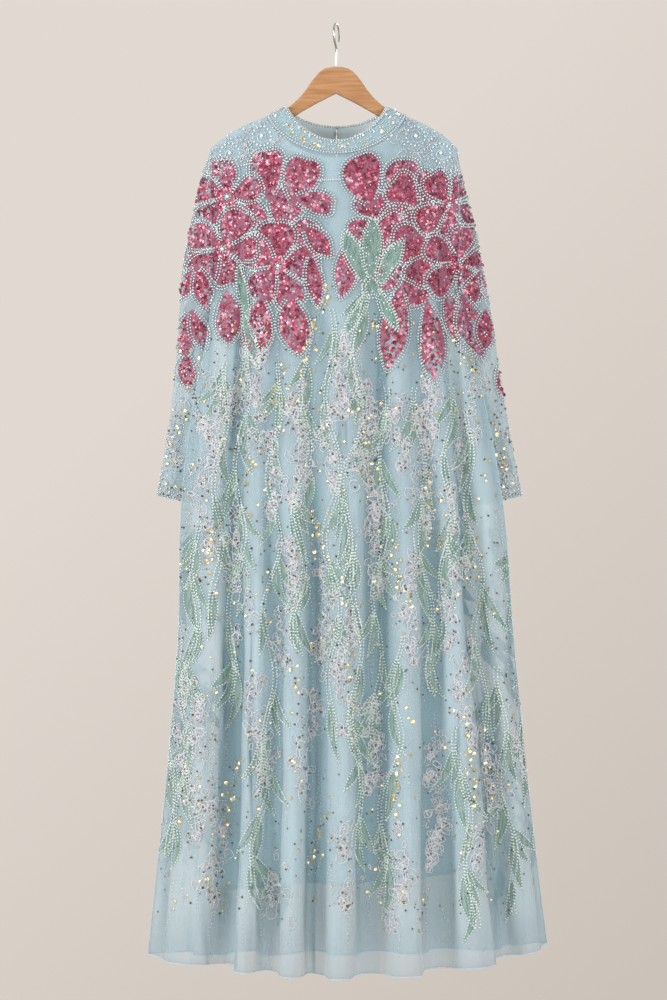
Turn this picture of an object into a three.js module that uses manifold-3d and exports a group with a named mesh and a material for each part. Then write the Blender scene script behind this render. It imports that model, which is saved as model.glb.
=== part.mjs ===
// A floor-length kaftan of beaded tulle over a plain lining, on a wooden hanger.
// Millimetres, +Z up, the front of the kaftan faces -Y. The origin is the inside of the hook's crown,
// where a rail carries the hanger.
//
// The tulle is cut as a front, a back, two sleeves and a neck band, and the lining as a front and a back.
// Each of them is a wall around a grid of points on the middle of the cloth. Two pieces that are sewn
// together share the points and normals of their seam, and each then stands back from it by half a gap.
import * as THREE from "three";
import { mergeVertices } from "three/addons/utils/BufferGeometryUtils.js";
import Module from "manifold-3d";

const { lerp, smoothstep, degToRad } = THREE.MathUtils;
const manifold = await Module();
manifold.setup();

// ---------------------------------------------------------------- driving dimensions

const SEAM_GAP = 0.3;
const CORNER_GAP = 0.9; // where three pieces meet in one point
// The lowest point of a sleeve stands off the two side seams, which meet the armhole there.
const UNDERARM_GAP = { out: 1.6, down: 1.2 };
const TULLE_WALL = 1.6;
const HEM_WALL = 2.6; // the rolled edge of the tulle
const LINING_WALL = 1.2;
const BAND_WALL = 2.2;
const LINING_INSET = 2.2; // from the middle of the tulle to the middle of the lining, over the hanger
// The neck edge of the lining lies lower and narrower, under the band.
const LINING_NECK = { inset: 5, narrow: 0.88 };

// The neck seam and the top of the band, as rings that pass over both shoulders.
const NECK = {
  halfWidth: 114,
  sideZ: -151.3,
  frontY: 48,
  backY: 42,
  frontDrop: 68,
  backDrop: 39,
  round: 1.35,
};
const BAND_TOP = {
  halfWidth: 82,
  sideZ: -135.8,
  frontY: 38,
  backY: 38,
  frontDrop: 60.5,
  backDrop: 27,
  round: 1.6,
};
const NECK_FLATNESS = 0.7; // under 1, so that the ring runs level while it crosses the hanger
const NECK_CROWDING = 0.6; // how much closer its points stand there

// The shoulder seam falls from the neck to its tip, steeper near the tip.
const SHOULDER = { left: 207, right: 199, fall: 33, droop: 20, rollY: 10.6, rollZ: 11 };
const ARMHOLE = { depth: 227, tulleSwell: 52, liningSwell: 20 }; // round at the tip, pointed at the underarm
const BACK_SLIT = { width: 2, length: 120, above: 40, y: 50, reach: 80 }; // and the cutter's place and size

// The tulle body at set heights: half-widths left and right of the hook, depths before and behind the
// side seams, and where the side seams stand from front to back.
const TULLE_BODY = [
  { z: -150, left: 207, right: 199, front: 44, back: 38, seamY: 0 },
  { z: -300, left: 205, right: 200, front: 56, back: 48, seamY: 0 },
  { z: -431, left: 203, right: 202, front: 62, back: 54, seamY: 0 },
  { z: -452, left: 201, right: 201, front: 63, back: 55, seamY: -8 },
  { z: -520, left: 213, right: 216, front: 67, back: 56, seamY: -22 },
  { z: -640, left: 236, right: 245, front: 76, back: 58, seamY: -34 },
  { z: -800, left: 254, right: 273, front: 85, back: 64, seamY: -38 },
  { z: -1000, left: 259, right: 289, front: 92, back: 76, seamY: -26 },
  { z: -1200, left: 275, right: 309, front: 98, back: 86, seamY: -16 },
  { z: -1400, left: 296, right: 332, front: 104, back: 94, seamY: -8 },
  { z: -1555, left: 313, right: 352, front: 110, back: 100, seamY: -4 },
];

const LINING_BODY = [
  { z: -150, left: 203, right: 195, front: 36, back: 32, seamY: 0 },
  { z: -300, left: 190, right: 184, front: 38, back: 33, seamY: 0 },
  { z: -431, left: 180, right: 178, front: 40, back: 33, seamY: -2 },
  { z: -640, left: 182, right: 188, front: 42, back: 34, seamY: -14 },
  { z: -1000, left: 190, right: 210, front: 46, back: 38, seamY: -14 },
  { z: -1430, left: 198, right: 236, front: 56, back: 50, seamY: -8 },
];

// Folds, one row for each ridge or trough from the left side seam to the right one. The first three columns
// place it at the shoulder, at hip height and at the hem, as a share of the half-width. The other three are
// how far the cloth stands out there.
const FOLD_LEVELS = { shoulderZ: -250, hipZ: -700, hemZ: -1550 };
const TULLE_FRONT_FOLDS = [
  { shoulder: -1.0, hip: -1.0, hem: -1.0, outShoulder: 0, outHip: 0, outHem: 0 },
  { shoulder: -0.9, hip: -0.85, hem: -0.79, outShoulder: 2, outHip: 7, outHem: 25 },
  { shoulder: -0.78, hip: -0.67, hem: -0.6, outShoulder: -4, outHip: -12, outHem: -28 },
  { shoulder: -0.64, hip: -0.56, hem: -0.51, outShoulder: 2, outHip: 7, outHem: 25 },
  { shoulder: -0.5, hip: -0.44, hem: -0.405, outShoulder: 0, outHip: -4, outHem: -25 },
  { shoulder: -0.33, hip: -0.31, hem: -0.272, outShoulder: 1, outHip: 6, outHem: 25 },
  { shoulder: -0.16, hip: -0.18, hem: -0.178, outShoulder: -1, outHip: -10, outHem: -27 },
  { shoulder: 0.12, hip: 0.04, hem: -0.055, outShoulder: 1, outHip: 7, outHem: 25 },
  { shoulder: 0.41, hip: 0.26, hem: 0.103, outShoulder: -2, outHip: -11, outHem: -25 },
  { shoulder: 0.56, hip: 0.41, hem: 0.285, outShoulder: 2, outHip: 8, outHem: 27 },
  { shoulder: 0.7, hip: 0.55, hem: 0.435, outShoulder: -1, outHip: -5, outHem: -23 },
  { shoulder: 0.82, hip: 0.67, hem: 0.625, outShoulder: 1, outHip: 7, outHem: 26 },
  { shoulder: 0.92, hip: 0.785, hem: 0.807, outShoulder: -2, outHip: -11, outHem: -24 },
  { shoulder: 0.965, hip: 0.9, hem: 0.9, outShoulder: 2, outHip: 5, outHem: 12 },
  { shoulder: 1.0, hip: 1.0, hem: 1.0, outShoulder: 0, outHip: 0, outHem: 0 },
];
const TULLE_BACK_FOLDS = [
  { shoulder: -1.0, hip: -1.0, hem: -1.0, outShoulder: 0, outHip: 0, outHem: 0 },
  { shoulder: -0.86, hip: -0.86, hem: -0.86, outShoulder: 2, outHip: 4, outHem: 15 },
  { shoulder: -0.7, hip: -0.7, hem: -0.7, outShoulder: -3, outHip: -7, outHem: -20 },
  { shoulder: -0.55, hip: -0.54, hem: -0.52, outShoulder: 2, outHip: 8, outHem: 22 },
  { shoulder: -0.38, hip: -0.36, hem: -0.36, outShoulder: 0, outHip: -7, outHem: -20 },
  { shoulder: -0.2, hip: -0.2, hem: -0.19, outShoulder: 1, outHip: 7, outHem: 24 },
  { shoulder: 0.0, hip: -0.02, hem: -0.03, outShoulder: -1, outHip: -8, outHem: -20 },
  { shoulder: 0.2, hip: 0.18, hem: 0.15, outShoulder: 1, outHip: 7, outHem: 21 },
  { shoulder: 0.38, hip: 0.36, hem: 0.32, outShoulder: 0, outHip: -7, outHem: -20 },
  { shoulder: 0.55, hip: 0.52, hem: 0.5, outShoulder: 2, outHip: 8, outHem: 23 },
  { shoulder: 0.7, hip: 0.69, hem: 0.68, outShoulder: -3, outHip: -7, outHem: -19 },
  { shoulder: 0.86, hip: 0.86, hem: 0.86, outShoulder: 2, outHip: 4, outHem: 14 },
  { shoulder: 1.0, hip: 1.0, hem: 1.0, outShoulder: 0, outHip: 0, outHem: 0 },
];
const LINING_FOLDS = [
  { shoulder: -1.0, hip: -1.0, hem: -1.0, outShoulder: 0, outHip: 0, outHem: 0 },
  { shoulder: -0.62, hip: -0.64, hem: -0.66, outShoulder: 0, outHip: 2, outHem: 7 },
  { shoulder: -0.3, hip: -0.32, hem: -0.36, outShoulder: 0, outHip: -3, outHem: -9 },
  { shoulder: 0.0, hip: -0.02, hem: -0.05, outShoulder: 0, outHip: 2, outHem: 7 },
  { shoulder: 0.3, hip: 0.27, hem: 0.24, outShoulder: 0, outHip: -3, outHem: -9 },
  { shoulder: 0.62, hip: 0.6, hem: 0.58, outShoulder: 0, outHip: 2, outHem: 7 },
  { shoulder: 1.0, hip: 1.0, hem: 1.0, outShoulder: 0, outHip: 0, outHem: 0 },
];

// A sleeve from the armhole to the cuff, in shares of its length: its outer fold, its inner fold, how far
// back it hangs, and half its depth. It moves back as it falls, and its inner part hangs behind the body.
const SLEEVE_OUTER = [
  { along: 0.0, left: 207, right: 199, z: -204.3 },
  { along: 0.08, left: 222, right: 207, z: -250 },
  { along: 0.2, left: 239, right: 226, z: -320 },
  { along: 0.35, left: 256, right: 244, z: -405 },
  { along: 0.5, left: 262, right: 260, z: -490 },
  { along: 0.65, left: 269, right: 272, z: -575 },
  { along: 0.8, left: 280, right: 287, z: -662 },
  { along: 1.0, left: 298, right: 308, z: -777 },
];
const SLEEVE_INNER = [
  { along: 0.0, left: 203, right: 202, z: -431.3 },
  { along: 0.08, left: 209, right: 208, z: -450 },
  { along: 0.2, left: 207, right: 208, z: -506 },
  { along: 0.35, left: 204, right: 208, z: -565 },
  { along: 0.5, left: 202, right: 210, z: -620 },
  { along: 0.65, left: 201, right: 211, z: -673 },
  { along: 0.8, left: 201, right: 212, z: -727 },
  { along: 1.0, left: 201, right: 214, z: -797 },
];
const SLEEVE_DEPTH = [
  { along: 0.0, y: 0, half: 22 },
  { along: 0.08, y: 4, half: 22 },
  { along: 0.2, y: 16, half: 22 },
  { along: 0.35, y: 26, half: 22 },
  { along: 0.5, y: 33, half: 21 },
  { along: 0.65, y: 38, half: 20 },
  { along: 0.8, y: 41, half: 19 },
  { along: 1.0, y: 43, half: 18 },
];
const SLEEVE_FOLDS = { count: 3, cuffHeight: 4, turn: 0.6 };
const SLEEVE_RINGS = { count: 13, crowding: 1.15, evenBy: 0.4 };

// Rows of a panel: turns of the armhole curve, in degrees, down to the underarm, then heights down to
// the hem.
const ARMHOLE_TURNS = [0, 13, 26, 41, 59, 81, 106, 132, 155, 180];
const TULLE_ROWS_BELOW = [-452, -520, -600, -690, -790, -900, -1020, -1150, -1290, -1430];
const LINING_ROWS_BELOW = [-560, -760, -1000, -1220];
const TULLE_HEM = { left: -1532, middle: -1550, right: -1514 };
const LINING_HEM = { left: -1428, middle: -1408, right: -1388 };
const TOP_BLEND = 150; // how far below the top edge its even spacing gives way to the folds
const LEVEL_BLEND = 620; // how far below the top edge the rows become level

const SIDE_ROUND = 27; // the part of the depth that rounds the side seams
const FOLD_SQUARE = { shoulder: 0.15, hem: 0.6 }; // how upright the sides of the folds stand

// The hook's wire: its round runs from one angle to the other, in a plane twisted a little about the stem.
const WIRE = {
  radius: 1.8,
  sides: 8,
  steps: 34,
  hookRadius: 16,
  twist: 15,
  stemFoot: -92,
  bendFoot: -46,
  from: 222,
  to: -28,
  arcSteps: 12,
};
const STEM_TUBE = { inner: 2.1, outer: 2.9, top: -49.5, bottom: -68.9, sides: 14 };
const HANGER = {
  thickness: 11,
  round: 3,
  clearance: 5.3, // from the lining's shoulder seam to the arm
  crownZ: -69.2,
  notchZ: -114,
  endX: 195,
  endDepth: 15,
  endBulge: 9,
  holeDepth: 24,
  holeSides: 12,
};
// The hanger's crown and the underside of its arm, from the middle outwards.
const HANGER_CROWN = [
  { x: 21, z: -73 },
  { x: 38, z: -89.5 },
  { x: 57, z: -116 },
  { x: 82, z: -138.5 },
];
const HANGER_UNDERSIDE = [
  { x: 34, z: -131 },
  { x: 70, z: -151.5 },
  { x: 114, z: -177 },
  { x: 160, z: -201 },
];
const ARM_STOPS = [114, 150, 180, 190]; // where the arm's upper edge is worked out under the shoulder seam

// ---------------------------------------------------------------- tables and curves

// One column of a table at a height or share, by smooth steps through its rows.
function read(table, key, by, value) {
  const rising = table[1][by] > table[0][by];
  const place = (row) => (rising ? row[by] : -row[by]);
  const x = rising ? value : -value;
  if (x <= place(table[0])) return table[0][key];
  const last = table.length - 1;
  if (x >= place(table[last])) return table[last][key];
  let i = 0;
  while (place(table[i + 1]) < x) i++;
  const slope = (j) => {
    const a = table[Math.max(j - 1, 0)];
    const b = table[Math.min(j + 1, last)];
    return (b[key] - a[key]) / (place(b) - place(a));
  };
  const span = place(table[i + 1]) - place(table[i]);
  const s = (x - place(table[i])) / span;
  return (
    table[i][key] * (1 + 2 * s) * (1 - s) ** 2 +
    table[i + 1][key] * s * s * (3 - 2 * s) +
    slope(i) * span * s * (1 - s) ** 2 -
    slope(i + 1) * span * s * s * (1 - s)
  );
}

// A point of a neck ring. The turn is 0 over the left shoulder and a half turn over the right one.
function ringPoint(ring, turn, side) {
  const s = Math.max(Math.sin(turn), 0);
  const y = side < 0 ? -ring.frontY : ring.backY;
  const drop = side < 0 ? ring.frontDrop : ring.backDrop;
  return new THREE.Vector3(
    -ring.halfWidth * Math.cos(turn),
    y * s ** NECK_FLATNESS,
    ring.sideZ - drop * s ** ring.round,
  );
}

// Turns that split the neck seam of one side into lengths, shorter ones near the shoulders.
function neckTurns(side, count) {
  const steps = 720;
  const lengths = [0];
  let last = ringPoint(NECK, 0, side);
  for (let i = 1; i <= steps; i++) {
    const next = ringPoint(NECK, (Math.PI * i) / steps, side);
    lengths.push(lengths[i - 1] + next.distanceTo(last));
    last = next;
  }
  const turns = [];
  for (let k = 0, i = 0; k <= count; k++) {
    const share = k / count;
    const crowded = share - (NECK_CROWDING * Math.sin(2 * Math.PI * share)) / (2 * Math.PI);
    const wanted = lengths[steps] * crowded;
    while (i < steps - 1 && lengths[i + 1] < wanted) i++;
    turns.push((Math.PI * (i + (wanted - lengths[i]) / (lengths[i + 1] - lengths[i]))) / steps);
  }
  turns[count] = Math.PI;
  return turns;
}

function shoulderZ(share) {
  return NECK.sideZ - SHOULDER.fall * share - SHOULDER.droop * share ** 3;
}

// The top edge of a panel: left shoulder seam, neck seam, right shoulder seam.
function topEdge(side, shoulderColumns, neckColumns) {
  const points = [];
  for (let i = 0; i < shoulderColumns; i++) {
    const share = 1 - i / shoulderColumns;
    points.push(new THREE.Vector3(-lerp(NECK.halfWidth, SHOULDER.left, share), 0, shoulderZ(share)));
  }
  for (const turn of neckTurns(side, neckColumns)) points.push(ringPoint(NECK, turn, side));
  for (let i = 1; i <= shoulderColumns; i++) {
    const share = i / shoulderColumns;
    points.push(new THREE.Vector3(lerp(NECK.halfWidth, SHOULDER.right, share), 0, shoulderZ(share)));
  }
  return points;
}

// ---------------------------------------------------------------- the hanging cloth

// The fold table at one height: where each ridge or trough lies, and how far out it stands.
function foldsAt(folds, z) {
  const down = smoothstep(-z, -FOLD_LEVELS.shoulderZ, -FOLD_LEVELS.hipZ);
  const low = Math.max(0, (FOLD_LEVELS.hipZ - z) / (FOLD_LEVELS.hipZ - FOLD_LEVELS.hemZ));
  const top = smoothstep(-z, -NECK.sideZ, -FOLD_LEVELS.shoulderZ);
  return folds.map((f) => ({
    at: lerp(lerp(f.shoulder, f.hip, down), f.hem, low),
    out: lerp(lerp(f.outShoulder * top, f.outHip, down), f.outHem, low),
  }));
}

// A point of the hanging body, at a column that counts along the folds.
function bodyPoint(sections, folds, side, column, perFold, z) {
  const list = foldsAt(folds, z);
  const k = Math.min(Math.floor(column / perFold), list.length - 2);
  const s = column / perFold - k;
  const square = lerp(FOLD_SQUARE.shoulder, FOLD_SQUARE.hem, smoothstep(-z, 300, 1500));
  const across = s + (square * Math.sin(2 * Math.PI * s)) / (2 * Math.PI);
  const f = THREE.MathUtils.clamp(lerp(list[k].at, list[k + 1].at, across), -1, 1);
  const out = lerp(list[k].out, list[k + 1].out, (1 - Math.cos(Math.PI * s)) / 2);
  const left = read(sections, "left", "z", z);
  const right = read(sections, "right", "z", z);
  const half = (left + right) / 2;
  const deep = read(sections, side < 0 ? "front" : "back", "z", z);
  const turn = Math.acos(-f);
  const sine = Math.sin(turn);
  const x = (right - left) / 2 + half * f;
  const seamY = read(sections, "seamY", "z", z) * (1 - sine);
  const y = seamY + side * (SIDE_ROUND * sine + (deep - SIDE_ROUND) * sine ** 2);
  const slope = side * (SIDE_ROUND + 2 * (deep - SIDE_ROUND) * sine) * Math.cos(turn);
  const outward = new THREE.Vector2(-slope, half * sine).normalize();
  return new THREE.Vector3(x + side * -outward.x * out * side, y + side * outward.y * out, z);
}

// How far the edge of the armhole stands out from the side seam.
function armholeY(z, swell) {
  const below = THREE.MathUtils.clamp((shoulderZ(1) - z) / ARMHOLE.depth, 0, 1);
  return swell * Math.sqrt(below) * (1 - below) ** 0.8;
}

// Heights of a panel's rows at its side edge.
function rowHeights(rowsBelow, hem) {
  const tip = shoulderZ(1);
  const armhole = ARMHOLE_TURNS.map((t) => tip - (ARMHOLE.depth * (1 - Math.cos(degToRad(t)))) / 2);
  return [...armhole, ...rowsBelow, hem];
}

// How much a slanting top edge lengthens the lining's inset. The lining's neck edge lies a little lower.
function steepness(edge, column, shoulderColumns) {
  const last = edge.length - 1;
  const fromSide = Math.min(column, last - column);
  if (fromSide >= shoulderColumns) {
    const toMiddle = (fromSide - shoulderColumns) / (last / 2 - shoulderColumns);
    return lerp(1, LINING_NECK.inset / LINING_INSET, toMiddle);
  }
  const outward = column < last / 2 ? -1 : 1;
  const other = edge[fromSide === 0 ? column - outward : column + outward];
  return Math.hypot(1, (other.z - edge[column].z) / (other.x - edge[column].x));
}

// The grid of one panel: columns from left to right, rows from the top edge to the hem.
function panelGrid({ sections, folds, side, shoulderColumns, perFold, rowsBelow, hem, swell, inset }) {
  const columns = (folds.length - 1) * perFold;
  const edge = topEdge(side, shoulderColumns, columns - 2 * shoulderColumns);
  return edge.map((top, column) => {
    const f = (2 * column) / columns - 1;
    const hemZ = lerp(hem.middle, f < 0 ? hem.left : hem.right, f * f);
    const heights = rowHeights(rowsBelow, hemZ);
    const topZ = top.z - inset * steepness(edge, column, shoulderColumns);
    return heights.map((height) => {
      const below = heights[0] - height;
      const z = height + (topZ - heights[0]) * (1 - smoothstep(below, 0, LEVEL_BLEND));
      const body = bodyPoint(sections, folds, side, column, perFold, z);
      const nearEdge = 1 - Math.sin(Math.acos(-THREE.MathUtils.clamp(f, -1, 1)));
      body.y += side * armholeY(z, swell) * nearEdge * nearEdge;
      const rollY = SHOULDER.rollY - inset;
      const turned = Math.min(below / SHOULDER.rollZ, 1);
      const roll = rollY * Math.sqrt(1 - (1 - turned) ** 2);
      const ringY = Math.abs(top.y) * (inset ? LINING_NECK.narrow : 1);
      const topY = side * Math.hypot(ringY, roll);
      const spread = 1 - (1 - Math.min(below / TOP_BLEND, 1)) ** 2;
      const topX = top.x * (1 - inset / NECK.halfWidth / 2);
      const deepen = smoothstep(below, 0, TOP_BLEND);
      return new THREE.Vector3(lerp(topX, body.x, spread), lerp(topY, body.y, deepen), z);
    });
  });
}

// ---------------------------------------------------------------- walls

// The normals of a grid, evened out a little between neighbours so that the wall stays whole at its corners.
function gridNormals(grid, closed, flip) {
  const last = grid.length - 1;
  const end = grid[0].length - 1;
  const before = (i) => (closed ? (i + last) % (last + 1) : Math.max(i - 1, 0));
  const after = (i) => (closed ? (i + 1) % (last + 1) : Math.min(i + 1, last));
  const exact = grid.map((line, i) =>
    line.map((point, j) => {
      const across = new THREE.Vector3().subVectors(grid[after(i)][j], grid[before(i)][j]);
      const along = new THREE.Vector3().subVectors(line[Math.min(j + 1, end)], line[Math.max(j - 1, 0)]);
      const normal = new THREE.Vector3().crossVectors(across, along).normalize();
      return flip ? normal.negate() : normal;
    }),
  );
  return exact.map((line, i) =>
    line.map((normal, j) => {
      const sum = normal.clone().multiplyScalar(2);
      sum.add(exact[before(i)][j]).add(exact[after(i)][j]);
      return sum.add(line[Math.max(j - 1, 0)]).add(line[Math.min(j + 1, end)]).normalize();
    }),
  );
}

const seamKey = (p) => [p.x, p.y, p.z].map((v) => Math.round(v * 100)).join(",");

// Cloth pieces that are sewn together: the normals along their common seams become the same.
function sewTogether(pieces) {
  const sums = new Map();
  for (const piece of pieces)
    for (const [i, j] of piece.seams) {
      const key = seamKey(piece.grid[i][j]);
      const sum = sums.get(key) ?? new THREE.Vector3();
      sums.set(key, sum.add(piece.normals[i][j]));
    }
  for (const piece of pieces)
    for (const [i, j] of piece.seams)
      piece.normals[i][j].copy(sums.get(seamKey(piece.grid[i][j]))).normalize();
}

// Moves the seam edges of a piece back from their seams, in the cloth and square to the seam.
function standBack({ grid, normals, seams }) {
  const count = grid.length;
  const rows = grid[0].length;
  const at = (i, j) => grid[(i + count) % count][THREE.MathUtils.clamp(j, 0, rows - 1)];
  const moves = seams.map(([i, j, di, dj, gap]) => {
    const from = at(i, j);
    const move = new THREE.Vector3().subVectors(at(i + di, j + dj), from);
    if (di && dj) return [from, move.setLength((gap * Math.SQRT2) / 2)];
    const side = Math.abs(di);
    const tangent = new THREE.Vector3().subVectors(at(i + dj, j + side), at(i - dj, j - side));
    const square = new THREE.Vector3().crossVectors(tangent, normals[i][j]);
    return [from, square.setLength((Math.sign(square.dot(move)) * gap) / 2)];
  });
  for (const [point, move] of moves) point.add(move);
}

// A closed wall around a grid, with its thickness across the cloth given for each row.
function wallGeometry(piece) {
  const { grid, normals, closed, thickness } = piece;
  const columns = grid.length;
  const rows = grid[0].length;
  const positions = [];
  for (const face of [0.5, -0.5])
    for (let i = 0; i < columns; i++)
      for (let j = 0; j < rows; j++) {
        const p = grid[i][j].clone().addScaledVector(normals[i][j], face * thickness(j, rows));
        positions.push(p.x, p.y, p.z);
      }
  const outer = (i, j) => (i % columns) * rows + j;
  const inner = (i, j) => columns * rows + outer(i, j);
  const index = [];
  const quad = (a, b, c, d) => index.push(a, b, c, a, c, d);
  // An edge face is split from its higher outer corner, so that the faces of a seam match.
  const edge = (a, b) => {
    const flat = positions[3 * outer(...a) + 2] >= positions[3 * outer(...b) + 2];
    if (flat) quad(outer(...a), inner(...a), inner(...b), outer(...b));
    else quad(outer(...b), outer(...a), inner(...a), inner(...b));
  };
  const spans = closed ? columns : columns - 1;
  for (let i = 0; i < spans; i++) {
    for (let j = 0; j < rows - 1; j++) {
      quad(outer(i, j), outer(i + 1, j), outer(i + 1, j + 1), outer(i, j + 1));
      quad(inner(i, j), inner(i, j + 1), inner(i + 1, j + 1), inner(i + 1, j));
    }
    edge([i, 0], [i + 1, 0]);
    edge([i + 1, rows - 1], [i, rows - 1]);
  }
  if (!closed)
    for (let j = 0; j < rows - 1; j++) {
      edge([0, j + 1], [0, j]);
      edge([columns - 1, j], [columns - 1, j + 1]);
    }
  const geometry = new THREE.BufferGeometry();
  geometry.setAttribute("position", new THREE.Float32BufferAttribute(positions, 3));
  geometry.setIndex(piece.flipFaces ? index.reverse() : index);
  return geometry;
}

const evenWall = (thickness) => () => thickness;
const hemmedWall = (thickness, hem) => (row, rows) => (row === rows - 1 ? hem : thickness);

// ---------------------------------------------------------------- the pieces of cloth

const TULLE_CUT = { shoulderColumns: 9, frontPerFold: 4, backPerFold: 3 };
const LINING_CUT = { shoulderColumns: 5, perFold: 4 };
const ARMHOLE_ROWS = ARMHOLE_TURNS.length;

// A seam entry is [column, row, step into the cloth across, step into the cloth along, gap].
function panelSeams(grid, { topSewn, armholeSewn }) {
  const last = grid.length - 1;
  const seams = [];
  for (let i = 1; i < last; i++) if (topSewn(i, last)) seams.push([i, 0, 0, 1, SEAM_GAP]);
  for (const [i, inward] of [[0, 1], [last, -1]]) {
    seams.push([i, 0, armholeSewn ? inward : 0, 1, SEAM_GAP]);
    const first = armholeSewn ? 1 : ARMHOLE_ROWS - 1;
    for (let j = first; j < grid[0].length; j++) seams.push([i, j, inward, 0, SEAM_GAP]);
  }
  return seams;
}

function tullePanel(side) {
  const grid = panelGrid({
    sections: TULLE_BODY,
    folds: side < 0 ? TULLE_FRONT_FOLDS : TULLE_BACK_FOLDS,
    side,
    shoulderColumns: TULLE_CUT.shoulderColumns,
    perFold: side < 0 ? TULLE_CUT.frontPerFold : TULLE_CUT.backPerFold,
    rowsBelow: TULLE_ROWS_BELOW,
    hem: TULLE_HEM,
    swell: ARMHOLE.tulleSwell,
    inset: 0,
  });
  return {
    grid,
    normals: gridNormals(grid, false, side < 0),
    seams: panelSeams(grid, { topSewn: () => true, armholeSewn: true }),
    thickness: hemmedWall(TULLE_WALL, HEM_WALL),
    flipFaces: side < 0,
  };
}

function liningPanel(side) {
  const grid = panelGrid({
    sections: LINING_BODY,
    folds: LINING_FOLDS,
    side,
    shoulderColumns: LINING_CUT.shoulderColumns,
    perFold: LINING_CUT.perFold,
    rowsBelow: LINING_ROWS_BELOW,
    hem: LINING_HEM,
    swell: ARMHOLE.liningSwell,
    inset: LINING_INSET,
  });
  const onShoulder = (i, last) => Math.min(i, last - i) <= LINING_CUT.shoulderColumns;
  return {
    grid,
    normals: gridNormals(grid, false, side < 0),
    seams: panelSeams(grid, { topSewn: onShoulder, armholeSewn: false }),
    thickness: evenWall(LINING_WALL),
    flipFaces: side < 0,
  };
}

// A sleeve starts on the armhole edges of both panels, front edge down and back edge up.
function sleevePiece(front, back, hand) {
  const column = hand < 0 ? 0 : front.grid.length - 1;
  const backColumn = hand < 0 ? 0 : back.grid.length - 1;
  const name = hand < 0 ? "left" : "right";
  const armhole = [
    ...front.grid[column].slice(0, ARMHOLE_ROWS),
    ...back.grid[backColumn].slice(1, ARMHOLE_ROWS - 1).reverse(),
  ].map((p) => p.clone());
  const around = armhole.length;
  const underarm = ARMHOLE_ROWS - 1;
  armhole[underarm].x += hand * UNDERARM_GAP.out;
  armhole[underarm].z -= UNDERARM_GAP.down;
  const turnOf = (i) => {
    const step = i < ARMHOLE_ROWS ? i : 2 * (ARMHOLE_ROWS - 1) - i;
    const turn = degToRad(ARMHOLE_TURNS[step]);
    return i < ARMHOLE_ROWS ? turn : 2 * Math.PI - turn;
  };
  const grid = armhole.map((start, i) => {
    const line = [start];
    for (let k = 1; k <= SLEEVE_RINGS.count; k++) {
      const along = (k / SLEEVE_RINGS.count) ** SLEEVE_RINGS.crowding;
      const even = smoothstep(along, 0, SLEEVE_RINGS.evenBy);
      const turn = lerp(turnOf(i), (2 * Math.PI * i) / around, even);
      const fold = (table) =>
        new THREE.Vector2(hand * read(table, name, "along", along), read(table, "z", "along", along));
      const outer = fold(SLEEVE_OUTER);
      const inner = fold(SLEEVE_INNER);
      const half = read(SLEEVE_DEPTH, "half", "along", along);
      const wave = Math.cos(SLEEVE_FOLDS.count * turn + SLEEVE_FOLDS.turn);
      const grow = 1 + (SLEEVE_FOLDS.cuffHeight * along * wave) / half;
      const reach = (Math.cos(turn) + 1) / 2;
      line.push(
        new THREE.Vector3(
          lerp(inner.x, outer.x, reach),
          read(SLEEVE_DEPTH, "y", "along", along) - half * Math.sin(turn) * grow,
          lerp(inner.y, outer.y, reach),
        ),
      );
    }
    return line;
  });
  const seams = [];
  for (let i = 0; i < around; i++)
    if (i !== underarm) seams.push([i, 0, 0, 1, i === 0 ? CORNER_GAP : SEAM_GAP]);
  return {
    grid,
    normals: gridNormals(grid, true, hand < 0),
    seams,
    closed: true,
    thickness: hemmedWall(TULLE_WALL, HEM_WALL),
    flipFaces: hand < 0,
  };
}

// The neck band stands on the neck seam of both panels.
function bandPiece(front, back) {
  const rings = [];
  const { shoulderColumns } = TULLE_CUT;
  const add = (panel, side, from, to, step) => {
    const turns = neckTurns(side, panel.grid.length - 1 - 2 * shoulderColumns);
    for (let i = from; i !== to; i += step)
      rings.push([panel.grid[shoulderColumns + i][0].clone(), ringPoint(BAND_TOP, turns[i], side)]);
  };
  add(front, -1, 0, front.grid.length - 1 - 2 * shoulderColumns, 1);
  add(back, 1, back.grid.length - 1 - 2 * shoulderColumns, 0, -1);
  const grid = rings.map(([foot, top]) => [foot, foot.clone().lerp(top, 0.5), top]);
  const atShoulder = (i) => Math.abs(grid[i][0].y) < SEAM_GAP;
  return {
    grid,
    normals: gridNormals(grid, true, false),
    seams: grid.map((line, i) => [i, 0, 0, 1, atShoulder(i) ? CORNER_GAP : SEAM_GAP]),
    closed: true,
    thickness: evenWall(BAND_WALL),
    flipFaces: false,
  };
}

// ---------------------------------------------------------------- solids

function toSolid(geometry) {
  const bare = geometry.index ? geometry.toNonIndexed() : geometry.clone();
  for (const name of Object.keys(bare.attributes)) if (name !== "position") bare.deleteAttribute(name);
  const merged = mergeVertices(bare, 1e-4);
  return new manifold.Manifold(
    new manifold.Mesh({
      numProp: 3,
      vertProperties: merged.attributes.position.array,
      triVerts: new Uint32Array(merged.index.array),
    }),
  );
}

function toGeometry(solid) {
  const mesh = solid.getMesh();
  const geometry = new THREE.BufferGeometry();
  geometry.setAttribute("position", new THREE.BufferAttribute(new Float32Array(mesh.vertProperties), 3));
  geometry.setIndex(new THREE.BufferAttribute(new Uint32Array(mesh.triVerts), 1));
  return geometry;
}

const cut = (geometry, cutter) => toGeometry(toSolid(geometry).subtract(toSolid(cutter)));

// The centre-back slit of the neck band, the tulle and the lining.
function slitCutter() {
  const top = NECK.sideZ + BACK_SLIT.above;
  const bottom = ringPoint(NECK, Math.PI / 2, 1).z - BACK_SLIT.length;
  const box = new THREE.BoxGeometry(BACK_SLIT.width, BACK_SLIT.reach, top - bottom);
  return box.translate(0, BACK_SLIT.y, (top + bottom) / 2);
}

// ---------------------------------------------------------------- hanger

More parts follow.
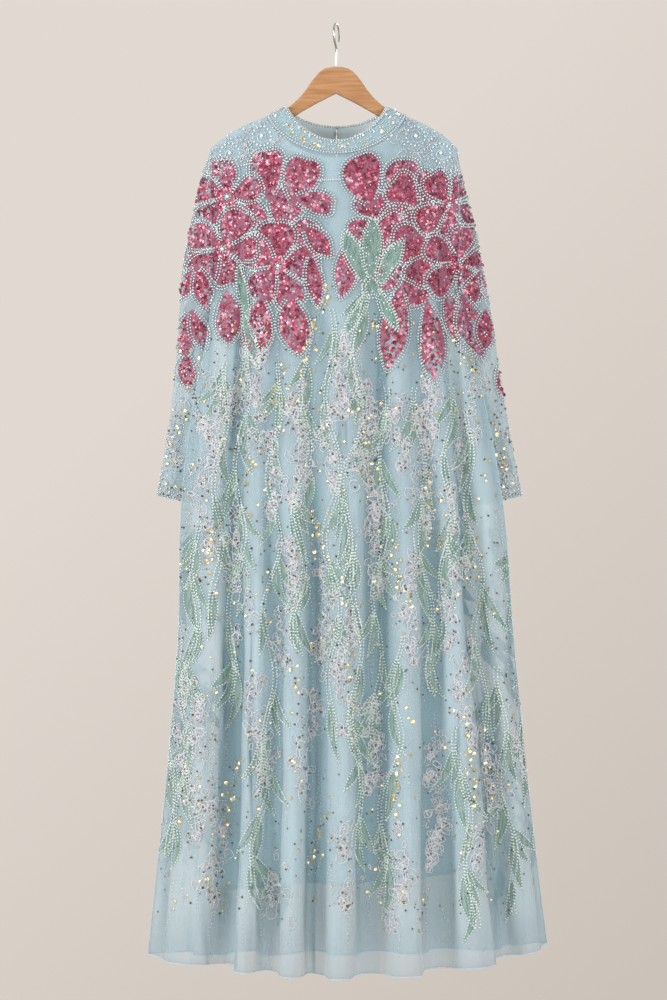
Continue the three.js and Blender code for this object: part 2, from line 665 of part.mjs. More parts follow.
// The upper edge of the arm lies under the shoulder seam of the lining.
function hangerOutline() {
  const armLength = SHOULDER.right - NECK.halfWidth;
  const armZ = (x) => {
    const share = (x - NECK.halfWidth) / armLength;
    const slope = (SHOULDER.fall + 3 * SHOULDER.droop * share ** 2) / armLength;
    return shoulderZ(share) - HANGER.clearance * Math.hypot(1, slope) ** 1.5;
  };
  const { endX, endDepth, endBulge } = HANGER;
  const arm = ARM_STOPS.map((x) => ({ x, z: armZ(x) }));
  const upper = [{ x: 0, z: HANGER.crownZ }, ...HANGER_CROWN, ...arm];
  const foot = { x: endX - 3, z: armZ(endX) - endDepth };
  const lower = [{ x: 0, z: HANGER.notchZ }, ...HANGER_UNDERSIDE, foot];
  const vectors = (points, sign) => points.map(({ x, z }) => new THREE.Vector2(sign * x, z));
  const armEnd = arm[arm.length - 1];
  const bulge = { x: endX + endBulge - 5, z: armZ(endX) - endDepth / 2 };
  const shape = new THREE.Shape();
  shape.moveTo(0, HANGER.crownZ);
  shape.splineThru(vectors(upper.slice(1), 1));
  shape.quadraticCurveTo(bulge.x, bulge.z, foot.x, foot.z);
  shape.splineThru(vectors(lower.slice(0, -1).reverse(), 1));
  shape.splineThru(vectors(lower.slice(1), -1));
  shape.quadraticCurveTo(-bulge.x, bulge.z, -armEnd.x, armEnd.z);
  shape.splineThru(vectors(upper.slice(0, -1).reverse(), -1));
  return shape;
}

function hangerGeometry() {
  const flat = HANGER.thickness - 2 * HANGER.round;
  const body = new THREE.ExtrudeGeometry(hangerOutline(), {
    depth: flat,
    bevelSize: HANGER.round,
    bevelOffset: -HANGER.round,
    bevelThickness: HANGER.round,
    bevelSegments: 2,
    curveSegments: 2,
  });
  body.rotateX(Math.PI / 2).translate(0, flat / 2, 0);
  const holeRadius = WIRE.radius + SEAM_GAP;
  const hole = new THREE.CylinderGeometry(holeRadius, holeRadius, 2 * HANGER.holeDepth, HANGER.holeSides);
  hole.rotateX(Math.PI / 2).translate(0, 0, HANGER.crownZ);
  return cut(body, hole);
}

// The hook rises from the hanger, turns over the rail from the front to the back, and stands a little askew.
function hookPath() {
  const r = WIRE.hookRadius + WIRE.radius;
  const twist = degToRad(WIRE.twist);
  const place = (y, z) => new THREE.Vector3(y * Math.sin(twist), y * Math.cos(twist), z);
  const onArc = (degrees) => {
    const angle = degToRad(degrees);
    return [r * Math.cos(angle), r * Math.sin(angle) - WIRE.hookRadius];
  };
  const [joinY, joinZ] = onArc(WIRE.from);
  const lean = degToRad(WIRE.from);
  const reach = (joinZ - WIRE.bendFoot) / 2;
  const path = new THREE.CurvePath();
  path.add(new THREE.LineCurve3(place(0, WIRE.stemFoot), place(0, WIRE.bendFoot)));
  path.add(
    new THREE.CubicBezierCurve3(
      place(0, WIRE.bendFoot),
      place(0, WIRE.bendFoot + reach),
      place(joinY - reach * Math.sin(lean), joinZ + reach * Math.cos(lean)),
      place(joinY, joinZ),
    ),
  );
  const arcPoints = [];
  for (let i = 0; i <= WIRE.arcSteps; i++)
    arcPoints.push(place(...onArc(lerp(WIRE.from, WIRE.to, i / WIRE.arcSteps))));
  path.add(new THREE.CatmullRomCurve3(arcPoints));
  return path;
}

function wireGeometry(path, radius, sides, steps) {
  const circle = new THREE.Shape();
  for (let i = 0; i <= sides; i++) {
    const a = (2 * Math.PI * i) / sides;
    if (i === 0) circle.moveTo(radius, 0);
    else circle.lineTo(radius * Math.cos(a), radius * Math.sin(a));
  }
  return new THREE.ExtrudeGeometry(circle, { extrudePath: path, steps, bevelEnabled: false });
}

function tubeRing(inner, outer, bottom, top) {
  const profile = [
    [inner, bottom],
    [outer, bottom],
    [outer, top],
    [inner, top],
    [inner, bottom],
  ].map(([r, z]) => new THREE.Vector2(r, z));
  return new THREE.LatheGeometry(profile, STEM_TUBE.sides).rotateX(Math.PI / 2);
}

// ---------------------------------------------------------------- the neck's hook and eye

const FASTENER = { z: -174, y: 37.5, eye: 2, eyeX: -1.6, wire: 0.45, sides: 6, eyeSteps: 14, hookSteps: 16 };
// The little hook from its shank on the right to its tip inside the eye, y from the middle of the eye.
const CLAW = [
  { x: 5, y: 0 },
  { x: 1.6, y: -1.3 },
  { x: -1.4, y: -1.7 },
  { x: -2.1, y: -0.9 },
  { x: -1.5, y: -0.1 },
];

function eyeGeometry() {
  const ring = new THREE.TorusGeometry(FASTENER.eye, FASTENER.wire, FASTENER.sides, FASTENER.eyeSteps);
  return ring.rotateX(Math.PI / 2).translate(FASTENER.eyeX, FASTENER.y, FASTENER.z);
}

function clawGeometry() {
  const points = CLAW.map(({ x, y }) => new THREE.Vector3(x, FASTENER.y + y, FASTENER.z));
  const path = new THREE.CatmullRomCurve3(points);
  return wireGeometry(path, FASTENER.wire, FASTENER.sides, FASTENER.hookSteps);
}

// ---------------------------------------------------------------- the kaftan

const COLOURS = {
  tulle: { color: 0xa9c6cf, roughness: 0.85, metalness: 0.0 },
  lining: { color: 0xb3d2de, roughness: 0.45, metalness: 0.0 },
  band: { color: 0xb9cdd0, roughness: 0.4, metalness: 0.1 },
  wood: { color: 0xc68d58, roughness: 0.45, metalness: 0.0 },
  steel: { color: 0x9a9893, roughness: 0.25, metalness: 1.0 },
  plastic: { color: 0xd9dad8, roughness: 0.35, metalness: 0.0 },
};

const kaftan = new THREE.Group();

function addMesh(name, geometry, finish) {
  const mesh = new THREE.Mesh(geometry, new THREE.MeshStandardMaterial(COLOURS[finish]));
  mesh.name = name;
  kaftan.add(mesh);
}

const front = tullePanel(-1);
const back = tullePanel(1);
const leftSleeve = sleevePiece(front, back, -1);
const rightSleeve = sleevePiece(front, back, 1);
const band = bandPiece(front, back);
const tulle = [front, back, leftSleeve, rightSleeve, band];
const lining = [liningPanel(-1), liningPanel(1)];
for (const set of [tulle, lining]) {
  sewTogether(set);
  set.forEach(standBack);
}

addMesh("front_panel", wallGeometry(front), "tulle");
addMesh("back_panel", cut(wallGeometry(back), slitCutter()), "tulle");
addMesh("sleeve_left", wallGeometry(leftSleeve), "tulle");
addMesh("sleeve_right", wallGeometry(rightSleeve), "tulle");
addMesh("neck_band", cut(wallGeometry(band), slitCutter()), "band");
addMesh("lining_front", wallGeometry(lining[0]), "lining");
addMesh("lining_back", cut(wallGeometry(lining[1]), slitCutter()), "lining");
addMesh("hanger_body", hangerGeometry(), "wood");
addMesh("hanger_hook", wireGeometry(hookPath(), WIRE.radius, WIRE.sides, WIRE.steps), "steel");
addMesh("hook_tube", tubeRing(STEM_TUBE.inner, STEM_TUBE.outer, STEM_TUBE.bottom, STEM_TUBE.top), "plastic");
addMesh("neck_eye", eyeGeometry(), "steel");
addMesh("neck_hook", clawGeometry(), "steel");

export default kaftan;
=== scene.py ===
"""A beaded tulle kaftan over a lining, on a wooden hanger. Lengths in the tables are millimetres, +Z up."""

import math

import bpy
import numpy as np
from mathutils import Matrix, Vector
from mathutils.bvhtree import BVHTree


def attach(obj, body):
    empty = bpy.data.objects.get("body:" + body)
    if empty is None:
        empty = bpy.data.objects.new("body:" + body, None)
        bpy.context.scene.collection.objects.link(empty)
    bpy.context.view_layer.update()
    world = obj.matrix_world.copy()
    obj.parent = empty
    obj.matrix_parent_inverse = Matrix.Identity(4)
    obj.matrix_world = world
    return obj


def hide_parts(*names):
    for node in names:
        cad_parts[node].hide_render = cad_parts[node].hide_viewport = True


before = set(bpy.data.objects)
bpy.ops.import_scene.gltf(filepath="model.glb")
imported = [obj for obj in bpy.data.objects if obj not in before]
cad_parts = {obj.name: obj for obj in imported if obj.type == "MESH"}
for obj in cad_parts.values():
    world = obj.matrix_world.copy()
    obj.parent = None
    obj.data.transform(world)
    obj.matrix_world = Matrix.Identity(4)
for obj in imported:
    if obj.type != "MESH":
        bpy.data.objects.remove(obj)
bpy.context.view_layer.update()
MM = 0.001
# About a whole turn, for a drawn phase.
TURN = 6.28
random = np.random.default_rng(20)

# ---------------------------------------------------------------- sizes of the cloth

NECK = dict(half=114, side_z=-151.3, front_y=48, back_y=42, front_drop=68, back_drop=39, round=1.35)
BAND_TOP = dict(half=82, side_z=-135.8, front_y=38, back_y=38, front_drop=60.5, back_drop=27, round=1.6)
NECK_FLATNESS = 0.7
NECK_CROWDING = 0.6
SHOULDER = dict(left=207, right=199, fall=33, droop=20, roll_y=10.6, roll_z=11)
ARMHOLE = dict(depth=227, tulle_swell=52, lining_swell=20)
ARMHOLE_TURNS = [0, 13, 26, 41, 59, 81, 106, 132, 155, 180]
TOP_BLEND = 150
LEVEL_BLEND = 620
SIDE_ROUND = 27
LINING_INSET = 2.2
LINING_NECK = dict(inset=5, narrow=0.88)
SLIT = dict(half=1.0, length=120)
TULLE_HEM = dict(left=-1532, middle=-1550, right=-1514)
LINING_HEM = dict(left=-1428, middle=-1408, right=-1388)
FOLD_LEVELS = dict(shoulder=-250, hips=-700, hem=-1550)
# How square the folds are across, at the top and at the hem.
FOLD_SQUARE = (0.15, 0.6)

BODY_COLUMNS = ("z", "left", "right", "front", "back", "seam_y")
TULLE_BODY = [
    (-150, 207, 199, 44, 38, 0),
    (-300, 205, 200, 56, 48, 0),
    (-431, 203, 202, 62, 54, 0),
    (-452, 205, 204, 63, 55, -8),
    (-520, 213, 216, 67, 56, -22),
    (-640, 236, 245, 76, 58, -34),
    (-800, 254, 273, 85, 64, -38),
    (-1000, 259, 289, 92, 76, -26),
    (-1200, 275, 309, 98, 86, -16),
    (-1400, 296, 332, 104, 94, -8),
    (-1555, 313, 352, 110, 100, -4),
]
LINING_BODY = [
    (-150, 203, 195, 36, 32, 0),
    (-300, 190, 184, 38, 33, 0),
    (-431, 180, 178, 40, 33, -2),
    (-640, 182, 188, 42, 34, -14),
    (-1000, 190, 210, 46, 38, -14),
    (-1430, 198, 236, 56, 50, -8),
]
# Folds: where each ridge or trough lies at the shoulder, the hips and the hem, and how far out it stands.
TULLE_FRONT_FOLDS = [
    (-1.0, -1.0, -1.0, 0, 0, 0),
    (-0.9, -0.85, -0.79, 2, 7, 25),
    (-0.78, -0.67, -0.6, -4, -12, -28),
    (-0.64, -0.56, -0.51, 2, 7, 25),
    (-0.5, -0.44, -0.405, 0, -4, -25),
    (-0.33, -0.31, -0.272, 1, 6, 25),
    (-0.16, -0.18, -0.178, -1, -10, -27),
    (0.12, 0.04, -0.055, 1, 7, 25),
    (0.41, 0.26, 0.103, -2, -11, -25),
    (0.56, 0.41, 0.285, 2, 8, 27),
    (0.7, 0.55, 0.435, -1, -5, -23),
    (0.82, 0.67, 0.625, 1, 7, 26),
    (0.92, 0.785, 0.807, -2, -11, -24),
    (0.965, 0.9, 0.9, 2, 5, 12),
    (1.0, 1.0, 1.0, 0, 0, 0),
]
TULLE_BACK_FOLDS = [
    (-1.0, -1.0, -1.0, 0, 0, 0),
    (-0.86, -0.86, -0.86, 2, 4, 15),
    (-0.7, -0.7, -0.7, -3, -7, -20),
    (-0.55, -0.54, -0.52, 2, 8, 22),
    (-0.38, -0.36, -0.36, 0, -7, -20),
    (-0.2, -0.2, -0.19, 1, 7, 24),
    (0.0, -0.02, -0.03, -1, -8, -20),
    (0.2, 0.18, 0.15, 1, 7, 21),
    (0.38, 0.36, 0.32, 0, -7, -20),
    (0.55, 0.52, 0.5, 2, 8, 23),
    (0.7, 0.69, 0.68, -3, -7, -19),
    (0.86, 0.86, 0.86, 2, 4, 14),
    (1.0, 1.0, 1.0, 0, 0, 0),
]
LINING_FOLDS = [
    (-1.0, -1.0, -1.0, 0, 0, 0),
    (-0.62, -0.64, -0.66, 0, 2, 7),
    (-0.3, -0.32, -0.36, 0, -3, -9),
    (0.0, -0.02, -0.05, 0, 2, 7),
    (0.3, 0.27, 0.24, 0, -3, -9),
    (0.62, 0.6, 0.58, 0, 2, 7),
    (1.0, 1.0, 1.0, 0, 0, 0),
]
# A sleeve by shares of its length: outer fold, inner fold, how far back it hangs, half its depth.
SLEEVE_COLUMNS = ("along", "out_left", "out_right", "out_z", "in_left", "in_right", "in_z", "y", "half")
SLEEVE = [
    (0.0, 207, 199, -204.3, 203, 202, -431.3, 0, 22),
    (0.08, 222, 207, -250, 205, 204, -450, 4, 22),
    (0.2, 239, 226, -320, 204, 205, -506, 16, 22),
    (0.35, 256, 244, -405, 204, 208, -565, 26, 22),
    (0.5, 262, 260, -490, 202, 210, -620, 33, 21),
    (0.65, 269, 272, -575, 201, 211, -673, 38, 20),
    (0.8, 280, 287, -662, 201, 212, -727, 41, 19),
    (1.0, 298, 308, -777, 201, 214, -797, 43, 18),
]
SLEEVE_FOLDS = dict(count=3, height=4, turn=0.6)
# The painted shade in the hollows deepens down to about this depth.
HOLLOW = 7
# Creases run out over this many columns at a panel's sides.
EDGE_COLUMNS = 6
RIPPLES = dict(count=7, width=(15, 38), lean=(-0.07, 0.07), length=(260, 760))

# Creases, one by one: across and down at both ends, depth (a trough is negative) and width.
FRONT_CREASES = [
    (-162, -330, -170, -1114, -5.5, 7),
    (-170, -1080, -188, -1540, -6.0, 8),
    (-128, -960, -124, -1550, -5.0, 7),
    (-43, -780, -39, -1560, -6.0, 7),
    (12, -640, 38, -1560, -5.0, 7),
    (64, -440, 78, -1560, -6.0, 8),
    (200, -420, 206, -1120, -5.5, 8),
    (205, -1060, 176, -1540, -5.0, 8),
    (-150, -470, -196, -900, -4.0, 9),
    (-128, -640, -150, -1180, 3.0, 8),
    (-62, -520, -92, -1010, -3.5, 10),
    (-24, -760, -18, -1330, 3.0, 9),
    (8, -540, 2, -920, -3.0, 8),
    (46, -700, 64, -1290, -3.5, 9),
    (92, -480, 118, -880, 3.5, 9),
    (140, -620, 176, -1120, -3.5, 10),
    (188, -840, 232, -1380, 3.0, 10),
    (-210, -860, -246, -1400, -3.5, 11),
    (-112, -1040, -128, -1480, 3.5, 8),
    (128, -1080, 150, -1500, -3.5, 9),
    (268, -1130, 300, -1490, -3.0, 10),
    (-30, -300, -36, -520, -1.6, 12),
    (150, -300, 128, -440, -2.0, 12),
]
BACK_CREASES = [
    (-176, -440, -190, -1540, -5.5, 8),
    (-104, -620, -112, -1560, -5.0, 7),
    (-48, -420, -60, -1560, -6.0, 8),
    (22, -700, 34, -1560, -5.5, 7),
    (96, -480, 122, -1550, -6.0, 8),
    (172, -520, 206, -1530, -5.0, 7),
    (-168, -430, -190, -960, -3.5, 10),
    (-96, -520, -110, -1150, 3.0, 9),
    (-40, -380, -52, -860, -3.0, 11),
    (30, -560, 40, -1240, -3.5, 9),
    (84, -440, 110, -930, 3.0, 10),
    (150, -620, 178, -1180, -3.5, 9),
    (214, -860, 250, -1420, 3.0, 10),
    (-206, -920, -238, -1450, -3.0, 10),
    (-70, -1000, -84, -1480, 3.0, 9),
    (120, -1090, 138, -1500, -3.0, 9),
]
SLEEVE_CREASES = [
    (228, -300, 246, -560, -2.5, 9),
    (214, -420, 224, -700, 2.2, 8),
    (262, -520, 282, -740, -2.0, 8),
    (240, -600, 252, -780, 2.0, 7),
]
LINING_CREASES = [
    (-150, -430, -168, -1420, -5.0, 13),
    (-118, -560, -132, -1420, 3.5, 12),
    (-84, -480, -104, -1420, -4.5, 12),
    (-36, -420, -40, -1420, -5.0, 13),
    (8, -560, 2, -1420, 3.5, 14),
    (62, -330, 72, -1420, -5.5, 13),
    (104, -560, 118, -1420, 3.5, 12),
    (140, -480, 166, -1420, -5.0, 13),
]


# ---------------------------------------------------------------- tables and curves


def smoothstep(x, low, high):
    t = np.clip((x - low) / (high - low), 0, 1)
    return t * t * (3 - 2 * t)


def lerp(a, b, t):
    return a + (b - a) * t


def read(rows, names, key, value):
    """One column of a table at heights or shares, by smooth steps through its rows."""
    table = np.array(rows, float)
    if table[1, 0] < table[0, 0]:
        table[:, 0] *= -1
        value = -np.asarray(value, float)
    x = np.clip(np.asarray(value, float), table[0, 0], table[-1, 0])
    place, column = table[:, 0], table[:, names.index(key)]
    last = len(place) - 1
    before, after = np.maximum(np.arange(last + 1) - 1, 0), np.minimum(np.arange(last + 1) + 1, last)
    slope = (column[after] - column[before]) / (place[after] - place[before])
    i = np.clip(np.searchsorted(place, x, side="right") - 1, 0, last - 1)
    span = place[i + 1] - place[i]
    s = (x - place[i]) / span
    return (
        column[i] * (1 + 2 * s) * (1 - s) ** 2
        + column[i + 1] * s * s * (3 - 2 * s)
        + slope[i] * span * s * (1 - s) ** 2
        - slope[i + 1] * span * s * s * (1 - s)
    )


def ring_point(ring, turn, side):
    s = np.maximum(np.sin(turn), 0)
    y = -ring["front_y"] if side < 0 else ring["back_y"]
    drop = ring["front_drop"] if side < 0 else ring["back_drop"]
    return np.stack(
        [-ring["half"] * np.cos(turn), y * s**NECK_FLATNESS, ring["side_z"] - drop * s ** ring["round"]], -1
    )


def neck_turns(side, share):
    """Turns that split the neck seam into lengths, shorter ones near the shoulders."""
    turns = np.linspace(0, np.pi, 721)
    points = ring_point(NECK, turns, side)
    lengths = np.concatenate([[0], np.cumsum(np.linalg.norm(np.diff(points, axis=0), axis=1))])
    crowded = share - NECK_CROWDING * np.sin(2 * np.pi * share) / (2 * np.pi)
    return np.interp(crowded * lengths[-1], lengths, turns)


def shoulder_z(share):
    return NECK["side_z"] - SHOULDER["fall"] * share - SHOULDER["droop"] * share**3


def top_edge(side, column, columns, shoulder):
    """The top edge at a column: left shoulder seam, neck seam, right shoulder seam."""
    left = 1 - column / shoulder
    right = (column - (columns - shoulder)) / shoulder
    neck = np.clip((column - shoulder) / (columns - 2 * shoulder), 0, 1)
    point = ring_point(NECK, neck_turns(side, neck), side)
    for share, sign, tip in ((left, -1, SHOULDER["left"]), (right, 1, SHOULDER["right"])):
        on = share > 0
        point[on] = np.stack(
            [sign * lerp(NECK["half"], tip, share[on]), np.zeros(on.sum()), shoulder_z(share[on])], -1
        )
    return point


# ---------------------------------------------------------------- the hanging cloth


def folds_at(folds, z, k):
    """Where folds stand at some heights, and how far out."""
    table = np.array(folds, float)[k]
    shoulder, hips, hem = FOLD_LEVELS.values()
    down = smoothstep(-z, -shoulder, -hips)
    low = np.maximum(0, (hips - z) / (hips - hem))
    top = smoothstep(-z, -NECK["side_z"], -shoulder)
    at = lerp(lerp(table[..., 0], table[..., 1], down), table[..., 2], low)
    out = lerp(lerp(table[..., 3] * top, table[..., 4], down), table[..., 5], low)
    return at, out


def body_point(sections, folds, side, column, per_fold, z):
    """Points of one side of the body, its folds standing out square to the smooth section."""
    k = np.clip(np.floor(column / per_fold + 1e-9).astype(int), 0, len(folds) - 2)
    s = column / per_fold - k
    square = lerp(*FOLD_SQUARE, smoothstep(-z, 300, 1500))
    across = s + square * np.sin(2 * np.pi * s) / (2 * np.pi)
    at0, out0 = folds_at(folds, z, k)
    at1, out1 = folds_at(folds, z, k + 1)
    f = np.clip(lerp(at0, at1, across), -1, 1)
    out = lerp(out0, out1, (1 - np.cos(np.pi * s)) / 2)
    left = read(sections, BODY_COLUMNS, "left", z)
    right = read(sections, BODY_COLUMNS, "right", z)
    half = (left + right) / 2
    deep = read(sections, BODY_COLUMNS, "front" if side < 0 else "back", z)
    turn = np.arccos(-f)
    sine = np.sin(turn)
    seam_y = read(sections, BODY_COLUMNS, "seam_y", z) * (1 - sine)
    x = (right - left) / 2 + half * f
    y = seam_y + side * (SIDE_ROUND * sine + (deep - SIDE_ROUND) * sine**2)
    slope = side * (SIDE_ROUND + 2 * (deep - SIDE_ROUND) * sine) * np.cos(turn)
    length = np.hypot(slope, half * sine) + 1e-12
    return np.stack([x + slope / length * out, y + side * half * sine / length * out, z], -1)


def armhole_y(z, swell):
    below = np.clip((shoulder_z(1) - z) / ARMHOLE["depth"], 0, 1)
    return swell * np.sqrt(below) * (1 - below) ** 0.8


def armhole_heights(steps):
    """Heights of the rows beside the armhole, with their places in the table of turns."""
    place = np.linspace(0, len(ARMHOLE_TURNS) - 1, steps + 1)
    turn = np.radians(np.interp(place, range(len(ARMHOLE_TURNS)), ARMHOLE_TURNS))
    return place, turn, shoulder_z(1) - ARMHOLE["depth"] * (1 - np.cos(turn)) / 2


def panel_grid(sections, folds, side, shoulder, per_fold, column, heights, hem, swell, inset):
    """Points of a panel: one line for each column, one point for each share of the height."""
    columns = (len(folds) - 1) * per_fold
    top = top_edge(side, column, columns, shoulder)
    f = 2 * column / columns - 1
    hem_z = lerp(hem["middle"], np.where(f < 0, hem["left"], hem["right"]), f * f)
    from_side = np.minimum(column, columns - column)
    near = np.clip(from_side, 1, shoulder)
    mirrored = np.where(column < columns / 2, near, columns - near)
    outer = np.where(column < columns / 2, near - 1, columns - near + 1)
    inner, outer = (top_edge(side, c, columns, shoulder) for c in (mirrored, outer))
    steep = np.hypot(1, (outer[:, 2] - inner[:, 2]) / (outer[:, 0] - inner[:, 0]))
    to_middle = (from_side - shoulder) / (columns / 2 - shoulder)
    steep = np.where(from_side >= shoulder, lerp(1, LINING_NECK["inset"] / LINING_INSET, to_middle), steep)
    top_z = top[:, 2] - inset * steep
    tip = heights[0]
    armhole_end = shoulder_z(1) - ARMHOLE["depth"]
    further = (armhole_end - heights) / (armhole_end - heights[-1])
    lower = lerp(armhole_end, hem_z[:, None], further[None, :])
    height = np.where(heights[None, :] >= armhole_end, heights[None, :], lower)
    below = tip - height
    z = height + (top_z[:, None] - tip) * (1 - smoothstep(below, 0, LEVEL_BLEND))
    body = body_point(sections, folds, side, np.broadcast_to(column[:, None], z.shape), per_fold, z)
    near_edge = 1 - np.sin(np.arccos(-np.clip(f, -1, 1)))[:, None]
    body[..., 1] += side * armhole_y(z, swell) * near_edge**2
    turned = np.minimum(below / SHOULDER["roll_z"], 1)
    roll = (SHOULDER["roll_y"] - inset) * np.sqrt(1 - (1 - turned) ** 2)
    ring_y = np.abs(top[:, 1]) * (LINING_NECK["narrow"] if inset else 1)
    top_y = side * np.hypot(ring_y[:, None], roll)
    spread = 1 - (1 - np.minimum(below / TOP_BLEND, 1)) ** 2
    top_x = top[:, 0] * (1 - inset / NECK["half"] / 2)
    deepen = smoothstep(below, 0, TOP_BLEND)
    return np.stack([lerp(top_x[:, None], body[..., 0], spread), lerp(top_y, body[..., 1], deepen), z], -1)


def grid_normals(grid, closed, flip):
    across = np.roll(grid, -1, 0) - np.roll(grid, 1, 0)
    if not closed:
        across[0] = grid[1] - grid[0]
        across[-1] = grid[-1] - grid[-2]
    along = np.empty_like(grid)
    along[:, 1:-1] = grid[:, 2:] - grid[:, :-2]
    along[:, 0] = grid[:, 1] - grid[:, 0]
    along[:, -1] = grid[:, -1] - grid[:, -2]
    normal = np.cross(across, along)
    normal /= np.linalg.norm(normal, axis=2, keepdims=True) + 1e-12
    return -normal if flip else normal


def crease(grid, normals, creases, mirror=1):
    """Soft troughs and ridges along lines, that run out at both ends and before the cloth's edges."""
    moved = grid.copy()
    x, z = grid[..., 0] * mirror, grid[..., 2]
    top_rows = grid.shape[1] // 12
    rows = np.ones(grid.shape[1])
    rows[:top_rows] = np.linspace(0, 1, top_rows)
    sides = np.ones(len(grid))
    sides[:EDGE_COLUMNS] = np.linspace(0, 1, EDGE_COLUMNS)
    sides[-EDGE_COLUMNS:] = sides[:EDGE_COLUMNS][::-1]
    for x0, z0, x1, z1, depth, width in creases:
        t = (z - z0) / (z1 - z0)
        bend = 7 * np.sin(3.1 * t + x0)
        away = (x - lerp(x0, x1, t) - bend) / width
        ends = smoothstep(t, -0.15, 0.2) * (1 - smoothstep(t, 0.8, 1.15))
        amount = depth * np.exp(-away * away) * ends * rows[None, :] * sides[:, None]
        moved += normals * amount[..., None]
    return moved


def waves(grid, normals, height, seed):
    """Fine uneven lengthwise ripples, stronger towards the hem."""
    rng = np.random.default_rng(seed)
    x, z = grid[..., 0], grid[..., 2]
    amount = np.zeros(x.shape)
    for _ in range(RIPPLES["count"]):
        size, lean = rng.uniform(*RIPPLES["width"]), rng.uniform(*RIPPLES["lean"])
        phase = rng.uniform(0, TURN)
        slow, slow_phase = rng.uniform(*RIPPLES["length"]), rng.uniform(0, TURN)
        swell = np.sin(2 * np.pi * z / slow + slow_phase)
        amount += np.sin(2 * np.pi * (x + lean * z) / size + phase) * swell
    amount *= height / 3 * lerp(0.25, 1.0, smoothstep(-z, 350, 1450))
    # none at the top and along the panel's sides
    rows, count = grid.shape[1], len(grid)
    amount *= np.minimum(np.arange(rows) / (rows / 10), 1)[None, :]
    amount *= np.minimum(np.minimum(np.arange(count), np.arange(count)[::-1]) / 8, 1)[:, None]
    return grid + normals * amount[..., None]


def unit(vectors):
    return vectors / (np.linalg.norm(vectors, axis=2, keepdims=True) + 1e-9)


def fold_shade_masks(grid, normals, closed, reach):
    """How hollow the cloth lies between its neighbours, and how far it turns aside there, from 0 to 1: masks
    for the painted shade in the folds.
    """

    def even(values, reach):
        before, after = values[-reach:], values[:reach]
        if not closed:
            before, after = values[:1].repeat(reach, 0), values[-1:].repeat(reach, 0)
        sums = np.cumsum(np.concatenate([before, values, after]), 0)
        sums = np.concatenate([np.zeros_like(sums[:1]), sums])
        span = 2 * reach + 1
        return (sums[span:] - sums[:-span]) / span

    depth = ((grid - even(grid, reach)) * unit(even(normals, reach))).sum(2)
    aside = 1 - (normals * unit(even(normals, 3))).sum(2)
    return np.clip(0.25 - depth / HOLLOW, 0, 1), np.clip(aside * 5, 0, 1)


# ---------------------------------------------------------------- meshes


def add_to_scene(name, data):
    obj = bpy.data.objects.new(name, data)
    bpy.context.scene.collection.objects.link(obj)
    return obj


def add_mesh(name, vertices, edges, faces, smooth=False):
    mesh = bpy.data.meshes.new(name)
    mesh.from_pydata([tuple(v) for v in np.asarray(vertices) * MM], edges, faces)
    mesh.update()
    if smooth:
        mesh.polygons.foreach_set("use_smooth", [True] * len(mesh.polygons))
    return add_to_scene(name, mesh)


def quads_of(grid_shape, closed, flip, drop=None):
    columns, rows = grid_shape[:2]
    quads = []
    for i in range(columns if closed else columns - 1):
        a, b = i * rows, ((i + 1) % columns) * rows
        for j in range(rows - 1):
            if drop is None or not drop[i, j]:
                quad = (a + j, b + j, b + j + 1, a + j + 1)
                quads.append(quad[::-1] if flip else quad)
    return quads


def shell(name, grid, closed, flip, thickness, drop=None, reach=0):
    """A thin closed shell around a grid: both faces of the cloth, and its cut edges."""
    normals = grid_normals(grid, closed, flip)
    points = grid.reshape(-1, 3)
    out = normals.reshape(-1, 3) * thickness / 2
    count = len(points)
    outer = quads_of(grid.shape, closed, flip, drop)
    edges = {(q[i], q[(i + 1) % 4]) for q in outer for i in range(4)}
    inner = [tuple(count + v for v in q[::-1]) for q in outer]
    rims = [(b, a, count + a, count + b) for a, b in edges if (b, a) not in edges]
    obj = add_mesh(name, np.concatenate([points + out, points - out]), [], outer + inner + rims, True)
    if reach:
        # hollow masks the painted shade in the folds; aside masks the net's density and the painted dark
        # lines at sharp bends
        for label, mark in zip(("hollow", "aside"), fold_shade_masks(grid, normals, closed, reach)):
            values = np.tile(mark.ravel(), 2)
            obj.data.attributes.new(label, "FLOAT", "POINT").data.foreach_set("value", values)
    return obj


# ---------------------------------------------------------------- node trees for what repeats


def node(tree, kind, inputs=(), **settings):
    """A new node with its settings, each input a value or the output that feeds it."""
    made = tree.nodes.new(kind)
    for key, value in settings.items():
        setattr(made, key, value)
    for key, value in dict(inputs).items():
        if isinstance(value, bpy.types.NodeSocket):
            tree.links.new(value, made.inputs[key])
        else:
            made.inputs[key].default_value = value
    return made


def new_tree(name, **inputs):
    """A tree with a geometry input, named inputs given as a kind and a value, and a geometry output."""
    tree = bpy.data.node_groups.new(name, "GeometryNodeTree")
    tree.interface.new_socket("Geometry", in_out="INPUT", socket_type="NodeSocketGeometry")
    for label, (kind, value) in inputs.items():
        socket = tree.interface.new_socket(label, in_out="INPUT", socket_type="NodeSocket" + kind)
        socket.default_value = value
    tree.interface.new_socket("Material", in_out="INPUT", socket_type="NodeSocketMaterial")
    tree.interface.new_socket("Geometry", in_out="OUTPUT", socket_type="NodeSocketGeometry")
    return tree, tree.nodes.new("NodeGroupInput").outputs


def attribute(tree, name, kind):
    return node(tree, "GeometryNodeInputNamedAttribute", {"Name": name}, data_type=kind).outputs["Attribute"]


def finish_tree(tree, source, material, smooth):
    real = node(tree, "GeometryNodeRealizeInstances", {"Geometry": source})
    shaded = node(
        tree, "GeometryNodeSetShadeSmooth", {"Geometry": real.outputs["Geometry"], "Shade Smooth": smooth}
    )
    dressed = node(
        tree, "GeometryNodeSetMaterial", {"Geometry": shaded.outputs["Geometry"], "Material": material}
    )
    node(tree, "NodeGroupOutput", {"Geometry": dressed.outputs["Geometry"]})
    return tree


